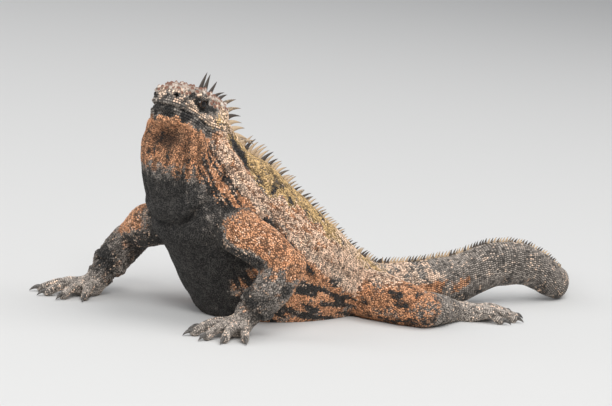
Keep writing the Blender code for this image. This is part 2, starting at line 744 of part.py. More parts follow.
def crest_spines(skin, cuts):
    """Root, up, backward direction and height of each spine, clear of the cuts between the nodes."""
    chance = random.Random(11)
    line = crest_rows()
    run = np.concatenate([[0], np.cumsum(np.linalg.norm(np.diff(line, axis=0), axis=1))])
    spines = []
    at = 2.0
    while at < run[-1] - 3:
        point = vec([np.interp(at, run, line[:, k]) for k in range(3)])
        ahead = vec([np.interp(at + 3, run, line[:, k]) for k in range(3)])
        back = (ahead - point).normalized()
        for middle, normal, radius in cuts:
            normal = vec(normal).normalized()
            off = (point - vec(middle)).dot(normal)
            if (point - vec(middle)).length < radius and abs(off) < SPINE_CLEARANCE:
                point += normal * (math.copysign(SPINE_CLEARANCE, off) - off)
        rise = vec([np.interp(at, run, line[:, k]) for k in range(3, 6)]).normalized()
        root, normal = skin.ray_cast((point + rise * 30) * MM, -rise)[:2]
        up = normal * 0.4 + rise
        up -= back * up.dot(back)
        height = float(np.interp(at, *zip(*SPINE_HEIGHTS))) * chance.uniform(0.85, 1.12)
        spines.append((root / MM, up.normalized(), back, height))
        at += float(np.interp(at, *zip(*SPINE_SPACINGS)))
    return spines


def colour_of(name):
    """The colour and roughness of the skin, horn or eye on a node."""
    for word, finish in FINISHES.items():
        if name.startswith(word):
            return finish
    return FINISHES["torso"]


def finish(nodes):
    """Sets the origin below the middle of the animal's box, and gives each node its name and material."""
    lowest = Vector([min((vert.co[k] for node in nodes.values() for vert in node.data.vertices)) for k in range(3)])
    highest = Vector([max((vert.co[k] for node in nodes.values() for vert in node.data.vertices)) for k in range(3)])
    origin = Vector(((lowest.x + highest.x) / 2, (lowest.y + highest.y) / 2, lowest.z))
    home = collection_named("marine_iguana")
    for name, node in nodes.items():
        node.data.transform(Matrix.Translation(-origin))
        node.name = name
        node.data.name = name
        for old in list(node.users_collection):
            old.objects.unlink(node)
        home.objects.link(node)
        material = bpy.data.materials.new(name)
        material.use_nodes = True
        shader = material.node_tree.nodes["Principled BSDF"]
        colour, roughness = colour_of(name)
        shader.inputs["Base Color"].default_value = (*colour, 1)
        shader.inputs["Roughness"].default_value = roughness
        shader.inputs["Metallic"].default_value = 0.0
        node.data.materials.clear()
        node.data.materials.append(material)


def head_and_body():
    """The two closed skins on either side of the head cut, each with its own share of triangles."""
    flesh = flesh_mesh()
    set_points(flesh, above_floor(carve_head(*points_of(flesh))))
    middle, normal = vec(HEAD_CUT[0]), vec(HEAD_CUT[1]).normalized()
    pieces = []
    for name, way, wanted in (("head", -1, HEAD_TRIANGLES), ("body", 1, BODY_TRIANGLES)):
        piece = bpy.data.objects.new(name, flesh.copy())
        bpy.context.scene.collection.objects.link(piece)
        trim(piece, middle + normal * way, normal * way)
        fewer_triangles(piece, wanted)
        trim(piece, middle - normal * way * GAP / 2, normal * way)
        set_points(piece.data, above_floor(points_of(piece.data)[0]))
        pieces.append(piece)
    bpy.data.meshes.remove(flesh)
    return pieces


def part_body(body):
    """Parts the body with thin discs, cuts the fingertips square and names each piece."""
    tools = [disc(*cut) for cut in list(BODY_CUTS) + limb_cuts()]
    tools += [fingertip_cutter(stop, out) for name, stop, out, size in claw_places()]
    combine(body, tools, "DIFFERENCE")
    return split_nodes(body, {**TRUNK_NODES, **limb_nodes()})


def ball(name, centre, radius):
    mesh = bmesh.new()
    bmesh.ops.create_uvsphere(mesh, u_segments=12, v_segments=8, radius=radius)
    bmesh.ops.translate(mesh, vec=centre, verts=mesh.verts)
    return object_of(name, mesh, bpy.context.scene.collection)


def add_eyes(head):
    """Cuts a socket for each eye, just clear of it, and makes the eyes."""
    centres = {
        "eye_left": HEAD @ vec(EYE),
        "eye_right": HEAD @ Vector((EYE[0], -EYE[1], EYE[2])),
    }
    combine(head, [ball("socket", centre, EYE_RADIUS + SOCKET_GAP) for centre in centres.values()], "DIFFERENCE")
    return {name: ball(name, centre, EYE_RADIUS) for name, centre in centres.items()}


def add_tubercles(head):
    skin = BVHTree.FromObject(head, bpy.context.evaluated_depsgraph_get())
    combine(head, tubercles(skin), "UNION", "MANIFOLD")
    largest_body(head)


def add_crest(nodes):
    """Fuses each spine of the crest into the node that it grows from."""
    carriers = ["head", *TRUNK_NODES]
    skins = {name: BVHTree.FromObject(nodes[name], bpy.context.evaluated_depsgraph_get()) for name in carriers}
    whole = bmesh.new()
    for name in carriers:
        whole.from_mesh(nodes[name].data)
    spines = {name: [] for name in carriers}
    for root, up, back, height in crest_spines(BVHTree.FromBMesh(whole), [HEAD_CUT, *BODY_CUTS]):
        owner = min(carriers, key=lambda name: skins[name].find_nearest((root - up) * MM)[3])
        mesh = bmesh.new()
        add_spine(mesh, root, up, back, height)
        spines[owner].append(object_of("spine", mesh, bpy.context.scene.collection))
    for name in carriers:
        if spines[name]:
            combine(nodes[name], spines[name], "UNION", "MANIFOLD")
            largest_body(nodes[name])


def main():
    for old in list(bpy.data.objects):
        bpy.data.objects.remove(old, do_unlink=True)
    head, body = head_and_body()
    nodes = part_body(body)
    nodes["head"] = head
    nodes.update(add_eyes(head))
    add_tubercles(head)
    for name, stop, out, size in claw_places():
        nodes[name] = object_of(name, claw_mesh(stop, out, size), bpy.context.scene.collection)
    add_crest(nodes)
    finish(nodes)


main()
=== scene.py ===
import random
from math import acos, copysign, cos, pi, radians, sin, sqrt

import bmesh
import bpy
import numpy as np
from numpy.linalg import norm
from mathutils import Matrix, Vector
from mathutils.bvhtree import BVHTree
from mathutils.kdtree import KDTree


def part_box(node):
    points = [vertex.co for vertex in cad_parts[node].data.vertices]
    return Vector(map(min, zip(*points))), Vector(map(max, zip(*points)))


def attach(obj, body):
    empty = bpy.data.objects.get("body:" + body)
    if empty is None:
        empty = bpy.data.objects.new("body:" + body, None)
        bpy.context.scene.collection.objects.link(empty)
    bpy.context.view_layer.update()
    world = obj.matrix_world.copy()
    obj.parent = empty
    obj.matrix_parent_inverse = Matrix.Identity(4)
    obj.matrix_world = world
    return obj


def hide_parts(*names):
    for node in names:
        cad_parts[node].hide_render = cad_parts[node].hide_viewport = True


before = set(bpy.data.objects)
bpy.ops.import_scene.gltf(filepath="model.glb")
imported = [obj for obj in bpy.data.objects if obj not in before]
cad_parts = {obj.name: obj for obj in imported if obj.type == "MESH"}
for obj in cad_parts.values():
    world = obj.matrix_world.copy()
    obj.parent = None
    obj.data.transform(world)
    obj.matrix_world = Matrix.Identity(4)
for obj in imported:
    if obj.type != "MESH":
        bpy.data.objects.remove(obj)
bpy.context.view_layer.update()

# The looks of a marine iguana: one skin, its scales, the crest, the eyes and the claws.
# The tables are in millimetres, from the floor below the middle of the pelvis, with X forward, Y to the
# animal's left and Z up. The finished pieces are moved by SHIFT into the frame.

MM = 0.001
SKIN_VOXEL = 1.2
SKIN_SMOOTHING = 5
SKIN_FLOOR = 0.05
COAT_DEPTH = 0.45

HEAD_SEAT = (139.6, -6.3, 137.4)
HEAD_YAW = 14.0
HEAD_PITCH = 17.0
HEAD_ROLL = 2.0
EYE = (28.5, 12.2, 7.6)
EYE_RADIUS = 5.0
LID_OPENING = (4.5, 2.4)
NOSTRIL = (49.5, 6.8, 6.6)
NOSTRIL_WAY = (0.78, 0.58, 0.2)
EAR = (3.0, 0.0)
# The closed mouth line from its corner to its front: how far along the head, and how high.
MOUTH = ((23.0, -6.4), (36.0, -2.4), (53.0, -0.8))

# Each row is a section: x, y, z of its middle, half width, height above, depth below.
TRUNK = (
    (-40, 2, 16, 19, 15, 24), (-22, 1, 20, 26, 18, 34), (0, 0, 25, 34, 23, 45),
    (28, 0, 34, 43, 31, 62), (58, 0, 46, 49, 37, 74), (86, -1, 61, 50, 40, 71),
    (112, -2, 78, 48, 41, 59), (132, -3, 93, 43, 37, 48), (144, -4, 112, 35, 33, 37),
    (149, -5, 127, 27, 29, 29), (151, -6, 136, 22, 23, 24),
)
NAPE = (
    (140, -8, 148, 7, 8, 8), (127, -9, 142, 7, 7, 9), (120, -8, 131, 7, 6, 9),
    (113, -5, 121, 8, 5, 9), (102, -3, 113, 9, 3, 9),
)
THROAT = (
    (174, 3, 136, 23, 10, 9), (171, 2, 122, 25.5, 20, 15), (166, 0, 105, 25.5, 26, 17),
    (160, -2, 88, 25, 26, 16), (152, -3, 77, 21, 22, 13),
)
TAIL = (
    (-18, 1, 20, 25, 18, 24), (-45, 2, 16.5, 20, 16, 20), (-80, 5, 17.5, 17, 17, 18.5),
    (-115, 10, 20, 14, 19, 20), (-150, 15, 31, 12, 18, 18), (-176, 18, 31.5, 10.5, 17, 17),
    (-199, 19, 26.5, 9.5, 15, 15), (-222, 17.5, 16.5, 8.8, 13, 14), (-241, 8, 12, 8.2, 12, 12.5),
    (-263, -16, 10.5, 7.2, 10.5, 11), (-293, -52, 8.5, 5.6, 8.5, 9), (-322, -88, 6.5, 4.2, 6.5, 7),
    (-342, -125, 4.5, 3, 4.5, 5), (-349.8, -164.4, 2.8, 1.8, 2.8, 3),
)
CRANIUM = (
    (-9, 0, -1, 13.5, 14, 19), (2, 0, 2, 19, 16, 19), (16, 0, 3, 19, 15.5, 14),
    (28, 0, 3.5, 16.5, 15, 11), (40, 0, 3.5, 14, 13, 10), (48, 0, 3.5, 12.3, 10.5, 9.5),
)
JAW = (
    (-12, 0, -12, 26, 12, 14), (4, 0, -11, 26, 12, 13), (18, 0, -9, 22, 11, 11),
    (32, 0, -7.5, 19, 9.5, 9), (44, 0, -6.5, 15, 8.5, 7),
)
HEAD_BALLS = (
    ((8, 15, -7), (16, 11.5, 13)), ((16, 13, 0), (15, 9, 12)), ((28, 10.5, 12.5), (12, 6.5, 5.5)),
    ((48, 6, 7), (6, 5.5, 6)),
)
UPPER_ARM_LEFT = (
    (132, 20, 70, 14, 15, 15), (138, 45, 68, 15.5, 16, 16), (131, 62, 60, 14.5, 15, 15),
    (124, 74, 52, 13, 13, 13),
)
FOREARM_LEFT = (
    (122, 77, 51, 13, 13, 13), (127, 75, 42, 14, 14, 14), (133, 70, 29, 12.5, 13, 13),
    (140, 62, 15, 10, 10, 10),
)
UPPER_ARM_RIGHT = (
    (134, -24, 62, 14, 15, 15), (142, -48, 58, 15, 15.5, 15.5), (134, -70, 50, 14, 14.5, 14.5),
    (126, -85, 44, 13, 13, 13),
)
FOREARM_RIGHT = (
    (124, -88, 42, 13, 13, 13), (133, -87, 37, 13.5, 13.5, 13.5), (147, -84, 26, 12.5, 12.5, 12.5),
    (160, -81, 14, 10, 10, 10),
)
THIGH = (
    (2, 22, 18, 20, 18, 18), (-5, 40, 17, 19, 17.5, 18), (-12, 57, 15.5, 18, 16, 16.5),
    (-20, 71, 13.5, 14.5, 13.5, 14.5),
)
SHANK = (
    (-20, 71, 13, 13.5, 13, 14), (-34, 68, 12, 13.5, 12.5, 13), (-50, 64, 10, 11, 10.5, 11),
    (-65, 61, 8, 9, 8, 9),
)
# Each hand and foot: wrist, heading in degrees, its fingers' angles from it and lengths, palm length.
PAWS = {
    ("finger", "left"): ((141, 61, 11), 8.0, (48, 24, 4, -18, -46), (15, 20, 23, 22, 16), 20.0),
    ("finger", "right"): ((162, -80, 11), -8.0, (50, 26, 4, -18, -44), (15, 20, 23, 22, 16), 20.0),
    ("toe", "left"): ((-67, 60, 7.5), 172.0, (-34, -17, -2, 14, 42), (16, 24, 32, 37, 24), 26.0),
    ("toe", "right"): ((-67, -60, 7.5), -172.0, (34, 17, 2, -14, -42), (16, 24, 32, 37, 24), 26.0),
}
FINGER_THICK = 6.2
KNUCKLE_HEIGHT = 8.5
SOLE_PRESS = 0.8
CLAW_LENGTH = 8.5
CLAW_ROOT = 2.3

# The crest: where its line starts, then spine heights and spacings by their distance along it.
CREST_ON_HEAD = ((16, 0, 20), (5, 0, 20), (-6, 0, 17))
CREST_ON_NAPE = ((121, -9, 144), (112, -7, 132))
NAPE_UP = (-0.8, 0.0, 0.6)
SPINE_HEIGHTS = (
    (0, 16), (8, 16), (14, 14.5), (30, 13.5), (60, 12.5), (90, 12),
    (150, 10.5), (200, 8), (235, 5.2), (330, 4.8), (650, 1.8),
)
SPINE_SPACINGS = ((0, 6.2), (12, 5.4), (45, 4.4), (80, 3.5), (140, 3.1), (300, 2.9), (650, 3.4))
HEAD_SPINES_END = 16
ROOT_DEPTH = 1.8

SCALE_SIDES = 6
SCALE_SUNK = 0.35
SCALE_FLOOR = 0.02
SCALE_PITCH = 1.02
KNOB_PITCH = 3.1
PATCH = 0.0015
TORSO_SPLIT = 150.0

# Pigments and other colours, as linear values.
CHARCOAL = (0.044, 0.040, 0.036)
RUST = (0.58, 0.225, 0.09)
OLIVE = (0.64, 0.42, 0.185)
CREAM = (0.84, 0.69, 0.54)
PINK = (0.86, 0.53, 0.35)
PEACH = (0.78, 0.44, 0.25)
SLATE = (0.34, 0.295, 0.255)
KNOB_PALE, KNOB_BROWN, KNOB_TIP = (0.74, 0.65, 0.56), (0.36, 0.27, 0.22), (0.21, 0.095, 0.06)
HORN_DARK, HORN_PALE, HORN_TIP = (0.065, 0.05, 0.04), (0.56, 0.41, 0.26), (0.06, 0.042, 0.034)
PUPIL, IRIS_GOLD = (0.004, 0.003, 0.003), (0.06, 0.03, 0.014)
IRIS, EYE_RIM = (0.030, 0.015, 0.009), (0.012, 0.008, 0.007)
CLAW_DARK, CLAW_PALE = (0.035, 0.031, 0.028), (0.15, 0.135, 0.12)
FLOOR = (0.66, 0.655, 0.64)
SKY = (0.86, 0.88, 0.92)
SKY_STRENGTH = 0.5

# The studio's lamps: where each hangs and its width in metres, and its power in watts.
LAMPS = {
    "key": ((2.4, 3.0, 3.6), 2.4, 150),
    "fill": ((4.0, -1.6, 2.4), 3.0, 50),
    "top": ((-1.6, 1.2, 4.4), 3.6, 110),
}
LAMP_TARGET = (0.05, 0, 0.05)

# The camera, worked out from the photo: where it looks, from how far, and its angles in degrees.
VIEW_TARGET = (80, 0, 70)
VIEW_DISTANCE = 1750.0
VIEW_OFFSET = (-30.7, -10.5)
VIEW_TURN = 43.0
VIEW_ELEVATION = 8.0
VIEW_ROLL = 6.3
VIEW_LENS = 142.6


def vec(*values):
    return Vector(values)


HEAD = (
    Matrix.Translation(HEAD_SEAT)
    @ Matrix.Rotation(radians(HEAD_YAW), 4, "Z")
    @ Matrix.Rotation(-radians(HEAD_PITCH), 4, "Y")
    @ Matrix.Rotation(radians(HEAD_ROLL), 4, "X")
)
HEAD_TURN = HEAD.to_3x3()
HEAD_UP = HEAD.col[2].to_3d()
low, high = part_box("eye_left")
SHIFT = (Vector(low) + Vector(high)) / 2 - (HEAD @ Vector(EYE)) * MM


def mirrored(rows):
    return tuple((row[0], -row[1], *row[2:]) for row in rows)


def moved(points, matrix):
    matrix = np.array(matrix)
    return points @ matrix[:3, :3].T + matrix[:3, 3]


def folded(local):
    """Points in the head's frame, with its right side laid over its left."""
    return np.column_stack([local[:, 0], np.abs(local[:, 1]), local[:, 2]])


def run_along(rows):
    """How far along the line of rows each row lies."""
    return np.concatenate([[0], np.cumsum(norm(np.diff(rows, axis=0), axis=1))])


def smooth_rows(rows, spacing):
    """Rows evenly spaced along a smooth curve through the given rows."""
    rows = np.array(rows, float)
    padded = np.vstack([2 * rows[0] - rows[1], rows, 2 * rows[-1] - rows[-2]])
    steps = np.linspace(0, 1, 16, endpoint=False)[:, None]
    fine = [
        0.5 * (2 * q + (r - p) * steps + (2 * p - 5 * q + 4 * r - s) * steps**2
               + (3 * q - p - 3 * r + s) * steps**3)
        for p, q, r, s in zip(padded, padded[1:], padded[2:], padded[3:])
    ]
    fine = np.vstack([*fine, rows[-1:]])
    run = run_along(fine[:, :3])
    wanted = np.linspace(0, run[-1], max(4, int(round(run[-1] / spacing))))
    return np.column_stack([np.interp(wanted, run, column) for column in fine.T])


def row_frame(rows, k):
    """The side, up and forward directions of row k, with up as near +Z as it can be."""
    along = (Vector(rows[min(k + 1, len(rows) - 1)][:3]) - Vector(rows[max(k - 1, 0)][:3])).normalized()
    side = vec(0, 0, 1).cross(along)
    if side.length < 0.15:
        side = vec(0, 1, 0)
    side.normalize()
    return side, along.cross(side).normalized(), along


def around(count):
    return [2 * pi * s / count for s in range(count)]


def join_rings(mesh, rings, tip=None):
    """Adds the faces between neighbouring rings of points, and to a tip."""
    sides = len(rings[0])
    for near, far in zip(rings, rings[1:]):
        for s in range(sides):
            mesh.faces.new((near[s - 1], near[s], far[s], far[s - 1]))
    if tip:
        for s in range(sides):
            mesh.faces.new((rings[-1][s - 1], rings[-1][s], tip))


def add_loft(mesh, rows, sides=18, spacing=4.0, ends=(1.0, 1.0), turn=None, boxy=1.0):
    """Adds a closed tube with rounded ends. A boxy value under 1 squares its sections."""
    rows = smooth_rows(rows, spacing)
    last = len(rows) - 1
    widths = (0.4, 0.75, 0.94)
    plan = [(0, -width) for width in widths] + [(k, 0.0) for k in range(last + 1)]
    plan += [(last, width) for width in widths[::-1]]
    rings = []
    for k, cap in plan:
        middle, (half, above, below) = Vector(rows[k][:3]), rows[k][3:6]
        side, up, along = row_frame(rows, k)
        width = abs(cap) or 1.0
        bulge = copysign(sqrt(1 - width * width), cap) * min(half, above, below)
        middle = middle + along * bulge * (ends[0] if cap < 0 else ends[1])
        ring = []
        for spin in around(sides):
            c, n = (copysign(abs(value) ** boxy, value) for value in (cos(spin), sin(spin)))
            point = middle + (side * half * c + up * (above if n > 0 else below) * n) * width
            ring.append(mesh.verts.new(turn @ point if turn else point))
        rings.append(ring)
    join_rings(mesh, rings)
    mesh.faces.new(rings[0])
    mesh.faces.new(rings[-1][::-1])


def add_ball(mesh, middle, radii):
    """Adds an egg shape in the head's frame."""
    made = bmesh.ops.create_uvsphere(mesh, u_segments=24, v_segments=16, radius=1.0)["verts"]
    bmesh.ops.scale(mesh, vec=radii, verts=made)
    bmesh.ops.translate(mesh, vec=middle, verts=made)
    bmesh.ops.transform(mesh, matrix=HEAD, verts=made)


def level_way(angle):
    return vec(cos(radians(angle)), sin(radians(angle)), 0)


def finger_rays(paw):
    """Start, end and direction of each finger of a hand or foot, thumb side first."""
    wrist, heading, spreads, lengths, palm = paw
    rays = []
    for k, (spread, length) in enumerate(zip(spreads, lengths)):
        out = level_way(heading + spread)
        base = Vector(wrist) + level_way(heading + spread * 0.75) * palm * (0.78 if k in (0, 4) else 1.0)
        base.z = KNUCKLE_HEIGHT
        rays.append((base, base + out * length, out))
    return rays


def finger_rows(paw):
    """A table of sections for each finger, from inside the palm to the claw."""
    wrist = Vector(paw[0])
    half = FINGER_THICK * 0.5
    tables = []
    for base, tip, out in finger_rays(paw):
        palm = (wrist + (base - wrist) * 0.6).to_2d()
        knuckle = (base + (tip - base) * 0.45).to_2d()
        tables.append((
            (*(wrist + (base - wrist) * 0.15), 6.5, 6.5, wrist.z + SOLE_PRESS),
            (*palm, KNUCKLE_HEIGHT, 5.0, 5.0, KNUCKLE_HEIGHT + SOLE_PRESS),
            (*base.to_2d(), KNUCKLE_HEIGHT, half * 1.15, 3.6, KNUCKLE_HEIGHT * 0.9),
            (*knuckle, KNUCKLE_HEIGHT - 0.6, half * 1.05, 3.2, 4.5),
            (*tip.to_2d(), half, half, half * 0.9, half + SOLE_PRESS),
        ))
    return tables


# Each length of the body: its table, how far down the animal it starts and which way it runs.
LENGTHS = {
    "trunk": (TRUNK, 240, -1),
    "tail": (TAIL, 225, 1),
    "throat": (THROAT, 10, 1),
    "cranium": (CRANIUM, 20, -1),
    "jaw": (JAW, 20, -1),
    "upper_arm_left": (UPPER_ARM_LEFT, 70, 1),
    "forearm_left": (FOREARM_LEFT, 130, 1),
    "upper_arm_right": (UPPER_ARM_RIGHT, 70, 1),
    "forearm_right": (FOREARM_RIGHT, 130, 1),
    "thigh_left": (THIGH, 200, 1),
    "thigh_right": (mirrored(THIGH), 200, 1),
    "shank_left": (SHANK, 255, 1),
    "shank_right": (mirrored(SHANK), 255, 1),
}
for paw_side in ("left", "right"):
    for paw_kind, paw_start in (("finger", 175), ("toe", 300)):
        for number, table in enumerate(finger_rows(PAWS[paw_kind, paw_side])):
            LENGTHS[f"{paw_kind}_{paw_side}_{number}"] = (table, paw_start, 1)


def bell(distance, width):
    return np.exp(-((distance / width) ** 2))


def ramp(value, low, high):
    """0 below low, 1 above high and smooth between them."""
    share = np.clip((value - low) / (high - low), 0, 1)
    return share * share * (3 - 2 * share)


def wander(points, size, seed):
    """A smooth random field between about -1 and 1, with bumps about size millimetres across."""
    chance = np.random.default_rng(seed)
    total = np.zeros(len(points))
    for wave in range(7):
        way = chance.normal(size=3)
        way *= chance.uniform(0.6, 1.5) * pi / size / norm(way)
        total += np.sin(points @ way + chance.uniform(0, 2 * pi))
    return total / 2.6


def near_line(points, line):
    """How far each point is from a line through the given points."""
    line = np.array(line, float)
    best = np.full(len(points), np.inf)
    for start, end in zip(line, line[1:]):
        along = end - start
        share = np.clip((points - start) @ along / (along @ along), 0, 1)
        best = np.minimum(best, norm(points - start - share[:, None] * along, axis=1))
    return best


class Chart:
    """Where each point of the skin lies on the body, and which way its scales point."""

    def __init__(self, points):
        self.points = points
        self.head = moved(points, HEAD.inverted())
        self.names = list(LENGTHS)
        ratios, runs, tops, lefts, flows, orders = zip(*(self.measure(name) for name in self.names))
        ratios, flows, orders = (np.array(values, np.float32) for values in (ratios, flows, orders))
        self.run, self.top, self.left = (dict(zip(self.names, values)) for values in (runs, tops, lefts))
        self.main = ratios.argmin(axis=0)
        weights = np.exp(-9 * (ratios - ratios.min(axis=0)))
        weights /= weights.sum(axis=0)
        self.share = dict(zip(self.names, weights))
        self.flow = (weights[:, :, None] * flows).sum(axis=0)
        self.order = (weights * orders).sum(axis=0)

    def measure(self, name):
        """How far out the points lie from one length, 1 on its surface, and where on it."""
        table, start, way = LENGTHS[name]
        rows = smooth_rows(table, 3.0)
        on_head = name in ("cranium", "jaw")
        points = self.head if on_head else self.points
        side, up, along = (np.array(ways) for ways in zip(*(row_frame(rows, k) for k in range(len(rows)))))
        nearest = np.empty(len(points), int)
        for first in range(0, len(points), 20000):
            part = points[first:first + 20000, None] - rows[:, :3]
            nearest[first:first + 20000] = np.einsum("ijk,ijk->ij", part, part).argmin(axis=1)
        near, side, up, along = rows[nearest], side[nearest], up[nearest], along[nearest]
        off = points - near[:, :3]
        out_side = (off * side).sum(axis=1) / near[:, 3]
        rise = (off * up).sum(axis=1)
        rise = rise / np.where(rise > 0, near[:, 4], near[:, 5])
        beyond = (off * along).sum(axis=1) / near[:, 3:6].min(axis=1)
        ratio = np.sqrt(out_side**2 + rise**2 + beyond**2)
        spin = np.sqrt(out_side**2 + rise**2) + 1e-9
        left = out_side / spin * np.where(on_head | (along[:, 0] > 0), 1.0, -1.0)
        run = nearest * 3.0
        flow = along * way
        if on_head:
            flow = flow @ np.array(HEAD_TURN).T
        return ratio, run, rise / spin, left, flow.astype(np.float32), start + run * way

    def amount(self, *prefixes):
        """The share of all the lengths whose names start with one of the prefixes."""
        return sum(self.share[name] for name in self.names if name.startswith(prefixes))

    def is_main(self, *prefixes):
        return np.isin(self.main, [k for k, name in enumerate(self.names) if name.startswith(prefixes)])


def clay():
    """The whole animal in one closed skin: tubes and egg shapes, fused and smoothed."""
    mesh = bmesh.new()
    add_loft(mesh, TRUNK, sides=48)
    add_loft(mesh, THROAT, sides=36)
    add_loft(mesh, NAPE)
    add_loft(mesh, TAIL, sides=32)
    add_loft(mesh, CRANIUM, sides=48, ends=(0.5, 0.7), turn=HEAD, boxy=0.75)
    add_loft(mesh, JAW, sides=48, ends=(0.6, 0.8), turn=HEAD, boxy=0.75)
    for (a, b, c), radii in HEAD_BALLS:
        add_ball(mesh, (a, b, c), radii)
        add_ball(mesh, (a, -b, c), radii)
    arms = (UPPER_ARM_LEFT, FOREARM_LEFT, UPPER_ARM_RIGHT, FOREARM_RIGHT)
    for rows in (*arms, THIGH, mirrored(THIGH), SHANK, mirrored(SHANK)):
        add_loft(mesh, rows, sides=28)
    for paw in PAWS.values():
        for rows in finger_rows(paw):
            add_loft(mesh, rows, sides=16, spacing=2.0, ends=(0.6, 1.2))
    bmesh.ops.recalc_face_normals(mesh, faces=mesh.faces)
    data = bpy.data.meshes.new("clay")
    mesh.to_mesh(data)
    mesh.free()
    lump = linked("clay", data)
    remesh = lump.modifiers.new("fuse", "REMESH")
    remesh.mode = "VOXEL"
    remesh.voxel_size = SKIN_VOXEL
    smooth = lump.modifiers.new("smooth", "SMOOTH")
    smooth.factor = 0.5
    smooth.iterations = SKIN_SMOOTHING
    made = bpy.data.meshes.new_from_object(lump.evaluated_get(bpy.context.evaluated_depsgraph_get()))
    bpy.data.objects.remove(lump, do_unlink=True)
    bpy.data.meshes.remove(data)
    return made


def linked(name, data):
    made = bpy.data.objects.new(name, data)
    bpy.context.scene.collection.objects.link(made)
    return made


def refine_head(data):
    """Splits the head's faces finer, so that lips, lids and nostrils are sharp."""
    mesh = bmesh.new()
    mesh.from_mesh(data)
    back = HEAD.inverted()

    def ahead_of(x, z):
        return [vert for vert in mesh.verts if (back @ vert.co).x > x and (back @ vert.co).z > z]

    inside = set(ahead_of(-4, -17))
    edges = [edge for edge in mesh.edges if inside.issuperset(edge.verts)]
    bmesh.ops.subdivide_edges(mesh, edges=edges, cuts=2, use_grid_fill=True)
    inside = ahead_of(-2, -15)
    for turn in range(3):
        bmesh.ops.smooth_vert(
            mesh, verts=inside, factor=0.5, use_axis_x=True, use_axis_y=True, use_axis_z=True
        )
    mesh.to_mesh(data)
    mesh.free()
    data.update()


def read(items, field, width=1, kind=np.int32):
    values = np.empty(len(items) * width, kind)
    items.foreach_get(field, values)
    return values.reshape(-1, width) if width > 1 else values


def points_of(data):
    return read(data.vertices, "co", 3, float), read(data.vertex_normals, "vector", 3, float)


def set_points(data, points):
    data.vertices.foreach_set("co", points.ravel())
    data.update()


def mouth_height(a):
    return np.interp(a, *zip(*MOUTH))


def near_nostril(face):
    """How far points of the folded face are from the line down the nostril."""
    place, way = Vector(NOSTRIL), Vector(NOSTRIL_WAY)
    return near_line(face, (place - way * 5, place + way * 12))


# Folds of the face and of the body's loose skin: a line, its width, and how far it stands out or sinks in.
CHEEK_RIDGE = ((44, 12, 5), (35, 16, 2), (25, 21, -3), (15, 24, -6))
FACE_FOLDS = (
    (CHEEK_RIDGE, 2.0, 1.2),
    (((38, 15, 7), (28, 18, 2), (18, 21, -1)), 1.3, -0.9),
    (((22, 22, -9), (10, 27, -12), (-4, 27, -16)), 1.6, -0.9),
)
THROAT_CREASE = (
    (156, -37, 95), (163, -30, 80), (167, -21, 70), (170, -8, 67), (168, 2, 67), (166, 11, 69),
    (166, 20, 74), (165, 27, 82), (161, 31, 89), (156, 34, 97), (150, 34, 104), (143, 31, 112),
)
FLANK_FOLD = ((98, 50, 60), (70, 50, 40), (40, 46, 26), (14, 36, 20))
FOLDS = (
    (THROAT_CREASE, 2.6, -4.2),
    (((171, -22, 80), (176, -7, 76), (174, 5, 76), (171, 16, 80), (168, 24, 90)), 6.5, 2.8),
    (((158, -26, 62), (162, -8, 58), (160, 6, 58), (156, 20, 62), (152, 31, 74)), 6.0, 2.0),
    (((136, 38, 86), (142, 46, 78), (146, 48, 66)), 8.0, 1.6),
    (((150, 24, 132), (138, 30, 118), (128, 36, 100), (124, 40, 84)), 3.2, 1.8),
    (((156, 22, 126), (147, 30, 110), (138, 37, 94), (134, 40, 80)), 2.2, -2.0),
    (((142, 24, 136), (130, 26, 122), (118, 32, 106), (108, 38, 92)), 2.8, -1.9),
    (((162, 22, 116), (154, 29, 102), (146, 34, 90)), 2.4, 1.1),
    (((150, -30, 132), (138, -35, 118), (128, -39, 100)), 3.2, 1.8),
    (((156, -28, 126), (147, -36, 110), (138, -41, 94)), 2.2, -2.0),
    (((142, -30, 136), (130, -32, 122), (118, -36, 106)), 2.8, -1.9),
    (((112, 46, 82), (106, 50, 68), (108, 48, 52)), 2.6, -1.8),
    (FLANK_FOLD, 4.0, 1.4),
    (mirrored(FLANK_FOLD), 4.0, 1.4),
    (((92, 52, 50), (66, 51, 31), (36, 46, 18)), 2.2, -1.7),
    (((112, 33, 100), (84, 36, 84), (52, 38, 64), (20, 34, 42)), 5.0, 1.0),
    (((108, 44, 84), (84, 47, 64), (56, 48, 46), (30, 43, 34)), 2.0, -1.0),
    (((20, 36, 32), (8, 42, 34), (-6, 40, 32)), 2.2, -1.5),
)


def press(push, points, folds):
    """Adds the folds to how far each point is pushed out."""
    for line, width, depth in folds:
        push += depth * bell(near_line(points, line), width)


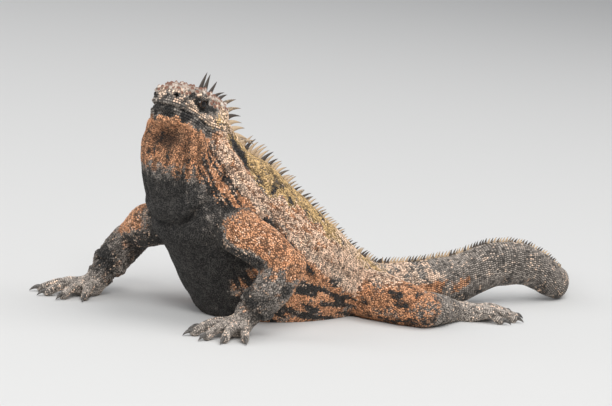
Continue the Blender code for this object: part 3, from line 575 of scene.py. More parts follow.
def carve_head(points, normals):
    """Cuts the mouth line, nostrils, ear cups and lids into the skin."""
    local = moved(points, HEAD.inverted())
    facing = normals @ np.array(HEAD_TURN)
    side = np.where(local[:, 1] >= 0, 1.0, -1.0)
    face = folded(local)
    a, b, c = face.T

    above_mouth = c - mouth_height(a)
    in_mouth = ramp(a, MOUTH[0][0] - 2, MOUTH[0][0] + 3) * (a > 0)
    push = -2.0 * bell(above_mouth, 0.85) * in_mouth
    push += 0.9 * (bell(above_mouth - 2.4, 1.4) + bell(above_mouth + 2.4, 1.5)) * in_mouth
    from_nostril = near_nostril(face)
    push += 0.8 * bell(from_nostril - 2.3, 0.9) - 3.4 * bell(from_nostril, 1.6)
    from_ear = np.sqrt(((a - EAR[0]) / 3.4) ** 2 + ((c - EAR[1]) / 4.6) ** 2)
    on_side = ramp(facing[:, 1] * side, 0.2, 0.5)
    push += (1.0 * bell(from_ear - 1.25, 0.4) - 2.2 * bell(from_ear, 0.85)) * on_side * (b > 8)
    press(push, face, FACE_FOLDS)
    push -= 4.6 * bell(np.sqrt(((a - 40) / 10) ** 2 + (b / 10) ** 2 + ((c + 20.5) / 5.0) ** 2), 1.0)
    local += facing * push[:, None]

    socket = np.column_stack([local[:, 0], b, local[:, 2]]) - EYE
    reach = norm(socket, axis=1)
    out = socket / np.maximum(reach, 1e-6)[:, None]
    spread = np.hypot(out[:, 0] / LID_OPENING[0], out[:, 2] / LID_OPENING[1]) * EYE_RADIUS
    lid = EYE_RADIUS + np.where(spread < 1, -1.6, 0.7 + 0.55 * bell(spread - 1.15, 0.2))
    near = (1 - ramp(spread, 1.35, 1.75)) * ramp(out[:, 1], 0.05, 0.45) * (1 - ramp(reach, 6.5, 9.5))
    shift = (lid - reach)[:, None] * out * near[:, None]
    shift[:, 1] *= side
    return moved(local + shift, HEAD)


def throat_wrinkles(points, chart):
    """Upright wrinkles of the throat, from -1 in a crease to 1 on a ridge."""
    x, y, z = points.T
    hanging = chart.amount("throat") * ramp(z, 76, 88) * (1 - ramp(z, 122, 134)) * ramp(np.abs(y), 5, 14)
    return np.sin(np.arctan2(y, x - 138) * 24 + 0.9 * wander(points, 20, 5)) * hanging


def fold_skin(points, normals, chart):
    """Adds the folds, the wrinkles and a gentle unevenness."""
    push = 0.45 * wander(points, 16, 3) + 0.22 * wander(points, 6.5, 4)
    press(push, points, FOLDS)
    push += 1.0 * throat_wrinkles(points, chart)
    push += 0.35 * np.sin(chart.order * 1.15 + wander(points, 12, 6)) * chart.amount("forearm", "shank")
    for name in ("forearm_left", "forearm_right"):
        sleeve = chart.run[name]
        push += (1.6 * bell(sleeve - 31, 4) - 2.4 * bell(sleeve - 37, 2)) * chart.amount(name)
    push *= 1 - ramp(chart.amount("finger", "toe"), 0.3, 0.9) * 0.8
    push *= 1 - chart.amount("cranium", "jaw") * 0.55
    push *= ramp(points[:, 2], 0.4, 3.0)
    return points + normals * push[:, None]


def skin_mesh():
    """The skin in millimetres, and the chart of its points before they are folded."""
    data = clay()
    refine_head(data)
    set_points(data, carve_head(*points_of(data)))
    points, normals = points_of(data)
    chart = Chart(points)
    points = fold_skin(points, normals, chart) - normals * COAT_DEPTH
    points[:, 2] = np.maximum(points[:, 2], SKIN_FLOOR)
    set_points(data, points)
    return data, chart


def streaks(name, chart, size, stretch, seed):
    """A random field drawn out along one length of the body."""
    girth = np.array(LENGTHS[name][0], float)[:, 3:6].mean()
    round_it = np.arctan2(chart.left[name], chart.top[name]) * girth
    return wander(np.column_stack([chart.run[name] / stretch, round_it, 0 * round_it]), size, seed)


def pigments(chart):
    """How much rust, olive, cream and charcoal each point carries, and its brightness: painted shade in
    creases and hollows, and a lighter tone on paws and crown.
    """
    points, face = chart.points, folded(chart.head)
    a, b, c = face.T
    y, z = points[:, 1], points[:, 2]
    big, mid, small = wander(points, 20, 11), wander(points, 9, 12), wander(points, 4.5, 13)
    trunk, tail, throat, arms, fore, thigh, shank = (
        chart.amount(name) for name in ("trunk", "tail", "throat", "upper_arm", "forearm", "thigh", "shank")
    )
    skull, paws = chart.amount("cranium", "jaw"), chart.amount("finger", "toe")
    arm_top = chart.top["upper_arm_left"] * (y > 0) + chart.top["upper_arm_right"] * (y <= 0)
    arm_run = np.where(y > 0, chart.run["upper_arm_left"], chart.run["upper_arm_right"])
    run, top = chart.run["trunk"], chart.top["trunk"]
    tail_run, tail_top = chart.run["tail"], chart.top["tail"]
    thigh_run = chart.run["thigh_left"]
    coarse = streaks("trunk", chart, 2.1, 7.0, 17)
    fine = streaks("trunk", chart, 2.2, 5.0, 18)
    drip = streaks("throat", chart, 2.6, 4.5, 19)

    # The trunk: an olive back, then a pale pinkish band, then rust with black streaks down to the belly.
    middle = np.interp(run, (60, 100, 150, 174, 201, 225), (0.08, 0.25, 0.27, 0.19, 0.28, 0.42))
    half = np.interp(run, (60, 150, 174, 201, 225), (0.26, 0.24, 0.14, 0.25, 0.2))
    off = top - middle + 0.05 * mid + 0.04 * fine
    back = ramp(off, half - 0.06, half + 0.08) * trunk
    band = ramp(off, -half - 0.06, -half + 0.06) * trunk - back
    below = trunk - band - back
    edge = np.interp(run, (150, 170, 186, 194), (-0.5, -0.22, -0.15, -0.42)) + 0.08 * mid
    chest = ramp(run, 142, 158) * (1 - ramp(top - edge, -0.1, 0.08))
    chest = chest * (1 - ramp(z + 5 * mid, 90, 106)) * below
    belly = (1 - ramp(top, -0.9, -0.72)) * below
    flank = np.clip(below - chest - belly, 0, 1)
    stripe_top = np.interp(run, (66, 105, 153, 186, 204), (-0.1, -0.03, 0.04, 0.08, 0.08))
    stripe = bell(top - stripe_top + 0.02 * mid, 0.06) * trunk
    shoulder = bell(top + 0.16, 0.16) * ramp(run, 120, 150) * trunk
    hip = bell(run - 72, 26) * ramp(top, -0.25, 0.05) * trunk
    pocket = bell(near_line(points, ((133, 21, 128), (128, 25, 121), (127, 29, 114))), 5.5)
    pocket += bell(near_line(points, ((133, -33, 128), (128, -35, 121), (127, -39, 114))), 5.5)

    # The head: pale on top, dark lips and eye sockets, rust cheeks and chin.
    over = c - mouth_height(a)
    lips = ramp(over + 1.2 * small, -9.0, -6.0) * (1 - ramp(over, 0.0, 1.4)) * ramp(a, 14, 22)
    from_socket = np.sqrt(((a - 28) / 11.5) ** 2 + ((c - 6.4 - 0.16 * (a - 28)) / 5.0) ** 2)
    socket = bell(from_socket, 1.0) ** 0.7 * (b > 7)
    # Dark round each nostril: painted shade in its pit.
    nostril = 1.2 * bell(near_nostril(face), 1.9) * (a > 46)
    chin_pit = bell(np.sqrt(((a - 40) / 13) ** 2 + (b / 13) ** 2 + ((c + 22) / 6.6) ** 2), 1.0) ** 0.6
    crown = ramp(over + 1.0 * small, 1.0, 3.4) * skull
    cheek_line = bell(near_line(face, CHEEK_RIDGE), 2.8) * skull
    neck_side = skull * ramp(-a, -16, -6) * ramp(c, -20, -12)

    rust = flank * (0.82 + 0.3 * mid) + belly * 0.4 + band * 0.76 + shoulder * 0.5
    rust += throat * ramp(z + 4 * drip + 3 * small, 98, 115) * 0.85
    rust += skull * (1 - ramp(over, -1.0, 1.6)) * 0.9
    on_arm = arms * ramp(arm_top + 0.15 * mid, -0.5, 0.0) * ramp(arm_run + 4 * mid, 16, 30)
    rust += on_arm * (0.92 + 0.1 * small)
    rust += fore * (bell(chart.order - 129, 8) * 0.85 + 0.1 + 0.24 * small)
    rust += thigh * (0.82 + 0.25 * mid) * (1 - ramp(thigh_run, 52, 66))
    on_tail = tail * (1 - ramp(tail_run + 12 * mid, 70, 105))
    rust += on_tail * (1 - ramp(tail_top + 0.1 * small, -0.1, 0.45)) * 0.8

    olive = back * (0.95 + 0.2 * mid) + band * (0.12 + 0.2 * mid) + neck_side * 0.55

    cream = band * (0.66 + 0.28 * fine + 0.10 * small)
    cream += stripe * 0.55 + hip * 0.62
    cream += back * (0.10 + 0.18 * fine)
    cream += crown * (0.60 + 0.32 * small)
    cream += neck_side * (0.5 + 0.25 * fine)
    cream += flank * (0.15 + 0.18 * fine)
    cream += throat * 0.1 + arms * (0.28 - 0.16 * ramp(arm_run, 42, 58) + 0.14 * small)
    cream += (fore * 0.20 + paws * 0.24 + shank * 0.22) * (1 + 0.5 * small)
    cream += (thigh * ramp(chart.top["thigh_left"], 0.5, 0.9) * (1 - ramp(thigh_run, 24, 46))) * 0.8
    on_tail = tail * (1 - ramp(tail_run + 10 * mid, 45, 85))
    cream += on_tail * ramp(tail_top, -0.15, 0.4) * (0.8 + 0.25 * small)
    cream += tail * ramp(tail_run, 55, 90) * (0.22 + 0.1 * small + 0.06 * mid)
    cream *= 1 - np.clip(socket + nostril + 0.8 * lips + pocket, 0, 1)
    cream += cheek_line * 0.7 * (1 - 0.7 * socket)
    olive += cheek_line * 0.6
    rust *= (1 - cheek_line) * (1 - 0.9 * lips) * (1 - 0.6 * stripe)

    # The chest's charcoal is partly its own colour and partly painted shadow below the throat sac. Towards
    # the throat it is less dark, as painted light.
    dark = chest * (0.84 + 0.12 * small - 0.2 * ramp(run, 172, 184)) + belly * 0.8
    dark += pocket * (trunk + throat)
    dark += throat * (1 - ramp(z + 5 * drip + 3 * small, 93, 111)) * (0.58 + 0.16 * small)
    dark += throat * (0.12 + 0.14 * small + 0.34 * ramp(drip, 0.1, 0.9))
    red = np.clip(flank + shoulder, 0, 1)
    dark += red * ramp(coarse + 0.2 * mid, -0.15, 0.35) * 0.82 * (1 - stripe)
    dark += back * (ramp(mid - 0.4 * big, 0.6, 0.95) * 0.55 + ramp(small, 0.5, 1.0) * 0.4)
    dark += skull * (lips * (0.68 + 0.3 * small) + socket * 1.1) * (1 - cheek_line) + nostril
    dark += crown * ramp(-small, 0.45, 0.95) * 0.55
    # The upper arm's underside and its join to the body are darker: partly its own colour, partly painted
    # shade.
    red = ramp(arm_top + 0.15 * mid, -0.6, -0.15) * ramp(arm_run + 4 * mid, 14, 28)
    dark += arms * (1 - red) * 0.75
    dark += arms * ramp(arm_run + 4 * small, 46, 58) * 0.36
    dark += fore * (0.44 + 0.2 * mid) * (1 - bell(chart.order - 129, 8))
    dark += shank * (0.28 + 0.15 * mid)
    dark += thigh * (0.12 + 0.1 * small + 0.5 * ramp(mid + 0.5 * small, 0.3, 0.9))
    # The tail's underside is darker: painted shade below it.
    dark += tail * (0.08 + 0.42 * (1 - ramp(tail_top, -0.7, -0.1)) + 0.12 * mid)

    # Painted shade: the hollow under the chin, the throat's wrinkle creases and the sunken folds are
    # darkened in colour, where shade falls. Paws and the crown get a lighter tone.
    painted_shade = 0.92 * chin_pit * (1 - crown) + 0.55 * np.clip(-throat_wrinkles(points, chart), 0, 1)
    press(painted_shade, points, [(line, width * 0.8, 0.6) for line, width, depth in FOLDS if depth < 0])
    shade_and_tone = np.clip(1 - painted_shade, 0.15, 1) + 0.35 * paws + 0.1 * crown
    return np.column_stack([np.clip(np.column_stack([rust, olive, cream, dark]), 0, 1), shade_and_tone])


class Wire:
    """A socket that can stand in a sum: each sum adds its Math node."""

    def __init__(self, paint, socket):
        self.paint = paint
        self.socket = socket

    def __add__(self, other):
        return self.paint.sum("ADD", self, other)

    def __sub__(self, other):
        return self.paint.sum("SUBTRACT", self, other)

    def __rsub__(self, other):
        return self.paint.sum("SUBTRACT", other, self)

    def __mul__(self, other):
        return self.paint.sum("MULTIPLY", self, other)

    __radd__ = __add__
    __rmul__ = __mul__


class Paint:
    """A material and its Principled shader."""

    def __init__(self, name):
        self.material = bpy.data.materials.new(name)
        self.material.use_nodes = True
        self.tree = self.material.node_tree

    def node(self, kind, settings, inputs, output=0):
        """Adds a node with its settings and inputs, and returns one output."""
        made = self.tree.nodes.new(kind)
        for name, value in settings.items():
            setattr(made, name, value)
        for name, value in inputs.items():
            self.join(made.inputs[name], value)
        return Wire(self, made.outputs[output])

    def join(self, socket, value):
        if isinstance(value, Wire):
            self.tree.links.new(value.socket, socket)
        elif isinstance(value, tuple):
            socket.default_value = (*value, 1)
        else:
            socket.default_value = value

    def finish(self, **inputs):
        for name, value in inputs.items():
            self.join(self.tree.nodes["Principled BSDF"].inputs[name.replace("_", " ")], value)
        return self.material

    def sum(self, operation, first, second):
        return self.node("ShaderNodeMath", {"operation": operation}, {0: first, 1: second})

    def noise(self, size, detail=2.0, rough=0.5):
        """Noise whose bumps are about size millimetres across."""
        place = self.node("ShaderNodeTexCoord", {}, {}, "Object")
        inputs = {"Vector": place, "Scale": 1 / (size * MM), "Detail": detail, "Roughness": rough}
        return self.node("ShaderNodeTexNoise", {}, inputs)

    def step(self, value, low, high):
        settings = {"interpolation_type": "SMOOTHSTEP"}
        return self.node("ShaderNodeMapRange", settings, {"Value": value, "From Min": low, "From Max": high})

    def mix(self, share, first, second):
        return self.node("ShaderNodeMix", {"data_type": "RGBA"}, {0: share, 6: first, 7: second}, 2)

    def shade(self, colour, value):
        """The colour made lighter or darker by a number."""
        return self.node("ShaderNodeVectorMath", {"operation": "SCALE"}, {0: colour, "Scale": value})

    def attribute(self, name, output="Fac"):
        return self.node("ShaderNodeAttribute", {"attribute_name": name}, {}, output)

    def split(self, name):
        """The numbers that a colour attribute carries, each as a wire."""
        colour = self.attribute(name, "Color")
        return [self.node("ShaderNodeSeparateColor", {}, {0: colour}, k) for k in range(3)]

    def bump(self, height, distance, strength):
        inputs = {"Height": height, "Distance": distance, "Strength": strength}
        return self.node("ShaderNodeBump", {}, inputs, "Normal")


def hide_colour(paint):
    """The hide's markings, from the pigments of each point, broken up by noise, then scaled by their painted
    shade and tone.
    """
    rust, olive, cream = paint.split("pigment")
    dark = paint.attribute("pigment", "Alpha")
    speck = paint.attribute("speck")
    ragged = (paint.noise(3.0, 3.0) - 0.5) * 0.9 + (speck - 0.5) * 0.4
    red = paint.step(rust + ragged, 0.25, 0.65)
    colour = paint.mix(red, SLATE, paint.mix(paint.noise(5.0), RUST, PEACH))
    colour = paint.mix(paint.step(olive + ragged, 0.30, 0.66), colour, OLIVE)
    colour = paint.mix(paint.step(dark + ragged, 0.34, 0.68), colour, CHARCOAL)
    flesh = paint.mix(paint.noise(7.0), CREAM, PINK)
    pale = paint.step(cream + (speck - 0.5) * 0.5 + ragged * 0.35, 0.40, 0.76) * 0.85
    return paint.shade(paint.mix(pale, colour, flesh), paint.attribute("shade_and_tone")), speck


def scale_paint():
    """The scales: each of its own lightness, with painted shade round its foot that leaves its top lighter.
    """
    paint = Paint("scales")
    colour, speck = hide_colour(paint)
    rise = paint.attribute("rise")
    grain = paint.noise(0.8, 3.0, 0.6)
    lit = 0.14 + 1.05 * speck + 0.5 * paint.step(paint.noise(4.0, 2.0), 0.35, 0.65)
    # Each scale is darkened towards its foot: painted shade in the gaps between the scales.
    lit = (lit + (grain - 0.5) * 0.4) * (0.16 + 0.84 * paint.step(rise, 0.15, 1.0))
    colour = paint.shade(colour, lit)
    rough = 0.66 + (grain - 0.5) * 0.3 - speck * 0.12
    return paint.finish(
        Base_Color=colour, Roughness=rough, Normal=paint.bump(grain, 0.00025, 0.6), Specular_IOR_Level=0.35
    )


def skin_paint():
    """The skin between the scales, much darker than they are: painted shade in the gaps between them."""
    paint = Paint("skin")
    colour = hide_colour(paint)[0]
    grain = paint.noise(0.7, 3.0, 0.6)
    wrinkle = paint.noise(2.6, 4.0, 0.6)
    # The hide colour is scaled far down here: painted shade in the gaps between the scales.
    return paint.finish(
        Base_Color=paint.shade(colour, 0.12 + 0.2 * grain), Roughness=0.75 - 0.15 * wrinkle,
        Normal=paint.bump(grain + wrinkle, 0.0004, 0.8), Specular_IOR_Level=0.35,
    )


def tubercle_paint():
    """The knobs on the head: pale grey at the foot, red-brown at the tip."""
    paint = Paint("tubercles")
    tint, height = paint.split("spine")[:2]
    grain = paint.noise(1.2, 3.0, 0.6)
    colour = paint.mix(tint, KNOB_PALE, KNOB_BROWN)
    tip = paint.step(height + (grain - 0.5) * 0.7 + (tint - 0.5) * 0.5, 0.35, 0.8)
    colour = paint.mix(tip, colour, KNOB_TIP)
    return paint.finish(
        Base_Color=paint.shade(colour, 0.55 + 0.9 * grain), Roughness=0.55 + 0.2 * grain,
        Normal=paint.bump(grain, 0.0003, 0.5),
    )


def spine_paint():
    """Horn of the crest: dark on some spines, cream on others, darker at the tip."""
    paint = Paint("spines")
    tint, height = paint.split("spine")[:2]
    streak = paint.noise(0.9, 3.0, 0.65)
    colour = paint.mix(paint.step(tint + (streak - 0.5) * 0.8, 0.42, 0.7), HORN_DARK, HORN_PALE)
    colour = paint.mix(paint.step(height + (streak - 0.5) * 0.5, 0.65, 1.1) * 0.7, colour, HORN_TIP)
    return paint.finish(
        Base_Color=paint.shade(colour, 0.7 + 0.6 * streak), Roughness=0.42 + 0.25 * streak,
        Normal=paint.bump(streak, 0.0003, 0.5),
    )


def eye_paint():
    """The eye: a round pupil, a thin golden edge, a dark brown iris and a wet surface."""
    paint = Paint("eye")
    out = paint.attribute("from_pupil")
    fleck = paint.noise(0.6, 3.0, 0.6)
    colour = paint.mix(paint.step(out, 0.44, 0.50), PUPIL, IRIS_GOLD)
    colour = paint.mix(paint.step(out + (fleck - 0.5) * 0.25, 0.52, 0.74), colour, IRIS)
    colour = paint.mix(paint.step(out, 0.86, 0.98), colour, EYE_RIM)
    return paint.finish(
        Base_Color=colour, Roughness=0.16, Specular_IOR_Level=0.25, Coat_Weight=0.25, Coat_Roughness=0.04
    )


def claw_paint():
    """Claws: grey horn, streaked lengthways."""
    paint = Paint("claws")
    streak = paint.noise(1.1, 3.0, 0.6)
    colour = paint.mix(paint.step(streak, 0.35, 0.65), CLAW_DARK, CLAW_PALE)
    return paint.finish(
        Base_Color=colour, Roughness=0.38 + 0.2 * streak, Normal=paint.bump(streak, 0.0003, 0.4)
    )


def new_piece(name, points, corners, material, nodes=()):
    """A piece from points in millimetres and triangles, moved into the frame."""
    data = bpy.data.meshes.new(name)
    corners = np.asarray(corners, np.int32)
    data.vertices.add(len(points))
    data.vertices.foreach_set("co", (points * MM + np.array(SHIFT)).astype(np.float32).ravel())
    data.loops.add(corners.size)
    data.loops.foreach_set("vertex_index", corners.ravel())
    data.polygons.add(len(corners))
    data.polygons.foreach_set("loop_start", np.arange(0, corners.size, 3, dtype=np.int32))
    data.update(calc_edges=True)
    data.shade_smooth()
    data.materials.append(material)
    made = linked(name, data)
    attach(made, "root")
    if nodes:
        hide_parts(*nodes)
    return made


def piece_from(name, mesh, material, nodes=()):
    """A piece from a bmesh in millimetres."""
    bmesh.ops.recalc_face_normals(mesh, faces=mesh.faces)
    bmesh.ops.triangulate(mesh, faces=mesh.faces)
    points = np.array([vert.co[:] for vert in mesh.verts])
    mesh.verts.index_update()
    corners = [[vert.index for vert in face.verts] for face in mesh.faces]
    mesh.free()
    return new_piece(name, points, corners, material, nodes)


def mark(piece, name, values):
    """Stores a number, or a colour of four numbers, on each point of a piece."""
    values = np.asarray(values, np.float32)
    kind, field = ("FLOAT_COLOR", "color") if values.ndim == 2 else ("FLOAT", "value")
    made = piece.data.attributes.new(name, kind, "POINT")
    made.data.foreach_set(field, values.ravel())


def give_pigment(piece, pigment, speck):
    mark(piece, "pigment", pigment[:, :4])
    # The painted shade of creases and hollows, with the lighter tone of paws and crown.
    mark(piece, "shade_and_tone", pigment[:, 4])
    mark(piece, "speck", speck)


def build_skin(data, pigment):
    data.calc_loop_triangles()
    corners = read(data.loop_triangles, "vertices", 3)
    flesh = [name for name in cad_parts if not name.startswith(("eye", "claw"))]
    skin = new_piece("skin", points_of(data)[0], corners, skin_paint(), flesh)
    give_pigment(skin, pigment, np.full(len(pigment), 0.5))


def coat_pieces(chart):
    """Which points of the skin each coat piece covers, and its material slot."""
    pieces = {
        "scales_head": (chart.is_main("cranium", "jaw"), "head_skin"),
        "scales_throat": (chart.is_main("throat"), "neck_skin"),
        "scales_tail": (chart.is_main("tail"), "tail_skin"),
    }
    for limb, lengths in (("arm", ("upper_arm", "forearm", "finger")), ("leg", ("thigh", "shank", "toe"))):
        for side in ("left", "right"):
            here = chart.is_main(*(f"{length}_{side}" for length in lengths))
            pieces[f"scales_{limb}_{side}"] = (here, lengths[0] + "_skin")
    trunk = chart.is_main("trunk")
    front = chart.run["trunk"] > TORSO_SPLIT
    left = chart.left["trunk"] > 0
    for end, in_end in (("front", front), ("rear", ~front)):
        for side, on_side in (("left", left), ("right", ~left)):
            pieces[f"scales_torso_{end}_{side}"] = (trunk & in_end & on_side, "torso_skin")
    return pieces


def unwrap(chart, pieces):
    """Each point's place on an unwrap: down the body, and round its own length."""
    places = np.zeros((len(chart.points), 2))
    for here, slot in pieces.values():
        order = chart.order[here]
        places[here, 0] = 0.02 + 0.96 * (order - order.min()) / (order.max() - order.min())
        lengths = np.unique(chart.main[here])
        for band, k in enumerate(lengths):
            name = chart.names[k]
            on_it = here & (chart.main == k)
            spin = np.arctan2(chart.left[name][on_it], chart.top[name][on_it]) / (2 * pi) + 0.5
            places[on_it, 1] = (band + 0.03 + 0.94 * spin) / len(lengths)
    return places


def tree_of(points):
    tree = KDTree(len(points))
    for k, point in enumerate(points):
        tree.insert(point, k)
    tree.balance()
    return tree


def spread_points(points, order, pitch, taken):
    """Picks points in order, at least their pitch apart and clear of the places taken."""
    tree = tree_of(points)
    free = np.ones(len(points), bool)
    chosen = []

    def clear(point, reach):
        for found in tree.find_range(point, reach):
            free[found[1]] = False

    for point, reach in taken:
        clear(point, reach)
    for k in order:
        if free[k]:
            chosen.append(k)
            clear(points[k], pitch[k])
    return np.array(chosen)


def spots_of(data, points, normals):
    """Places for small scales: the skin's points and the middles of its faces and edges."""
    starts = read(data.polygons, "loop_start")
    corners = read(data.loops, "vertex_index")
    ends = read(data.edges, "vertices", 2)
    own = np.arange(len(points))
    first = np.concatenate([own, corners[starts], ends[:, 0]])
    second = np.concatenate([own, corners[starts + 2], ends[:, 1]])
    normals = normals[first] + normals[second]
    normals /= norm(normals, axis=1)[:, None]
    return (points[first] + points[second]) / 2, normals, first


def from_eye(head):
    return norm(folded(head) - EYE, axis=1)


def scale_pitch(chart):
    """The distance between small scales: fine by the eyes, coarse on the limbs and tail."""
    pitch = np.full(len(chart.points), SCALE_PITCH)
    pitch += 0.18 * chart.amount("forearm", "upper_arm", "thigh", "shank", "tail")
    pitch -= 0.04 * chart.amount("throat")
    pitch -= 0.02 * chart.amount("finger", "toe")
    pitch += 0.12 * chart.share["trunk"] * ramp(chart.top["trunk"], 0.2, 0.8)
    on_head = 0.12 + 0.25 * ramp(chart.head[:, 2], 4, 12) - 0.35 * bell(from_eye(chart.head), 8)
    return pitch + chart.amount("cranium", "jaw") * on_head


class Coat:
    """Scales waiting to be made: where each sits, how it lies and how big it is."""

    def __init__(self, chart, points, skin, taken):
        self.chart = chart
        self.skin = skin
        self.rows = []
        self.taken = list(taken)
        self.tree = tree_of(points)

    def lay(self, root, normal, flow, length, width, height, lean=0.1, top=0.74):
        """Lays one scale at a given place and keeps its place clear of the small ones."""
        source = self.tree.find(root)[1]
        self.rows.append((*root, *normal, *flow, length, width, height, lean, top, source))
        self.taken.append((root, 0.5 * max(length, width) + 0.35))

    def on_skin(self, start, way, reach):
        """Where a line from inside the body meets the skin, if that isn't underneath."""
        root, normal = self.skin.ray_cast(start, way.normalized(), reach)[:2]
        return None if root is None or (root.z < 0.5 and normal.z < -0.7) else (root, normal)

    def rings(self, name, first, last, spacing, across, height, lean):
        """Rings of keeled scales round one length of the body."""
        rows = smooth_rows(LENGTHS[name][0], spacing / 3)
        stops = range(round(first / spacing) * 3, min(round(last / spacing) * 3, len(rows) - 3), 3)
        for number, k in enumerate(stops):
            side, up, along = row_frame(rows, k)
            middle, (half, above, below) = Vector(rows[k][:3]), rows[k][3:6]
            girth = 2 * pi * sqrt((half**2 + ((above + below) / 2) ** 2) / 2)
            count = max(7, round(girth / across))
            for s in range(count):
                spin = 2 * pi * (s + 0.5 * (number % 2)) / count
                reach = side * half * cos(spin) + up * (above if sin(spin) > 0 else below) * sin(spin)
                found = self.on_skin(middle, reach, reach.length * 1.25 + 1.5)
                if found and self.chart.names[self.chart.main[self.tree.find(found[0])[1]]] == name:
                    self.lay(*found, along, spacing * 1.28, across * 1.12, height, lean, 0.7)

    def lips(self):
        """Rows of flat plates along each lip."""
        for rise, size in ((1.7, 1.8), (3.5, 1.7), (5.2, 1.6), (-1.8, 1.9), (-3.7, 1.8), (-5.5, 1.6)):
            last = None
            for turn in np.arange(-118, 118, 0.6):
                way = HEAD_TURN @ level_way(turn)
                a = (HEAD.inverted() @ self.on_skin(HEAD @ vec(24, 0, -2), way, 60)[0]).x
                root, normal = self.on_skin(HEAD @ vec(24, 0, mouth_height(a) + rise), way, 60)
                if a > 15 and (last is None or (root - last).length > size):
                    self.lay(root, normal, -HEAD_UP * copysign(1, rise), size * 1.08, size * 1.25, 0.4)
                    last = root

    def lids(self):
        """Rings of very small scales round each eye."""
        for side in (1, -1):
            for size, count in ((1.22, 20), (1.58, 24), (1.95, 26)):
                for turn in around(count):
                    away = vec(cos(turn) * LID_OPENING[0], 0, sin(turn) * LID_OPENING[1]) * size
                    start = Vector(EYE) + away + vec(0, 12, 0)
                    start.y *= side
                    root, normal = self.skin.ray_cast(HEAD @ start, HEAD_TURN @ vec(0, -side, 0), 20)[:2]
                    if root:
                        self.lay(root, normal, HEAD_TURN @ away, 0.95, 1.2, 0.34)

    def scatter(self, spots, spot_normals, source):
        """Small scales over all that is left, from the snout to the toes and the tail's tip."""
        chart = self.chart
        pitch = scale_pitch(chart)
        keel = chart.amount("tail", "forearm", "thigh", "upper_arm", "shank")
        keel += 0.7 * chart.share["trunk"] * ramp(chart.top["trunk"], 0.3, 0.7)
        chance = np.random.default_rng(8)
        order = np.argsort(chart.order[source] + 0.2 * chance.normal(size=len(spots)))
        closed = (spots[:, 2] < 0.5) & (spot_normals[:, 2] < -0.7)
        face = folded(chart.head[source])
        closed |= (near_nostril(face) < 1.5) & (face[:, 0] > 46)
        for side in (1, -1):
            centre = np.array(HEAD @ vec(EYE[0], side * (EYE[1] + 2.5), EYE[2]))
            closed |= norm(spots - centre, axis=1) < 3.6
        chosen = spread_points(spots, order[~closed[order]], pitch[source], self.taken)
        near = source[chosen]
        size = pitch[near] * chance.uniform(0.95, 1.18, len(chosen))
        size *= np.where(chance.random(len(chosen)) < 0.08, 1.2, 1)
        keel = keel[near]
        return np.column_stack([
            spots[chosen], spot_normals[chosen], chart.flow[near], size * (1.50 + 0.18 * keel), size * 1.42,
            0.11 + size * (0.19 + 0.17 * keel), 0.07 + 0.15 * keel, 0.76 - 0.14 * keel, near,
        ])


def scale_arrays(table):
    """Points and triangles of scales: a ring below the skin, a shoulder and a peak."""
    root, normal, flow = table[:, 0:3], table[:, 3:6], table[:, 6:9]
    length, width, height, lean, top = table[:, 9:14].T
    flow = flow - normal * (flow * normal).sum(axis=1)[:, None]
    flow /= norm(flow, axis=1)[:, None] + 1e-9
    side = np.cross(normal, flow)
    turns = (np.arange(SCALE_SIDES) + 0.5) * 2 * pi / SCALE_SIDES

    def ring(size, rise, slide):
        ahead = (0.5 * size * length)[:, None] * np.cos(turns) + (slide * length)[:, None]
        aside = (0.5 * size * width)[:, None] * np.sin(turns)
        middle = root + normal * rise[:, None]
        return middle[:, None] + flow[:, None] * ahead[:, :, None] + side[:, None] * aside[:, :, None]

    foot = ring(np.ones_like(top), np.full_like(top, -SCALE_SUNK), 0 * lean)
    shoulder = ring(top, 0.72 * height, 0.6 * lean)
    peak = root + normal * height[:, None] + flow * (lean * length)[:, None]
    points = np.concatenate([foot, shoulder, peak[:, None, :]], axis=1)
    corners = []
    for s in range(SCALE_SIDES):
        t = (s + 1) % SCALE_SIDES
        corners += [(s, t, SCALE_SIDES + t), (s, SCALE_SIDES + t, SCALE_SIDES + s)]
        corners += [(SCALE_SIDES + s, SCALE_SIDES + t, 2 * SCALE_SIDES)]
    corners = np.array(corners)[None] + (np.arange(len(table)) * points.shape[1])[:, None, None]
    patch = [(size * cos(turn), size * sin(turn)) for size in (1.0, 0.6) for turn in turns]
    return points.reshape(-1, 3), corners.reshape(-1, 3), np.array([*patch, (0.0, 0.0)])


def build_scales(name, table, place, pigment, material):
    """One coat piece, with a patch for each scale on the unwrap of the skin."""
    points, corners, patch = scale_arrays(table)
    points[:, 2] = np.maximum(points[:, 2], SCALE_FLOOR)
    piece = new_piece(name, points, corners, material)
    speck = np.random.default_rng(len(table)).uniform(0, 1, len(table))
    give_pigment(piece, np.repeat(pigment, len(patch), axis=0), np.repeat(speck, len(patch)))
    mark(piece, "rise", np.tile([0.0] * SCALE_SIDES + [0.8] * SCALE_SIDES + [1.0], len(table)))
    spread = place[:, None, :] + patch[None] * PATCH
    flat = piece.data.uv_layers.new(name="OFBake")
    flat.data.foreach_set("uv", spread.reshape(-1, 2)[corners.ravel()].astype(np.float32).ravel())


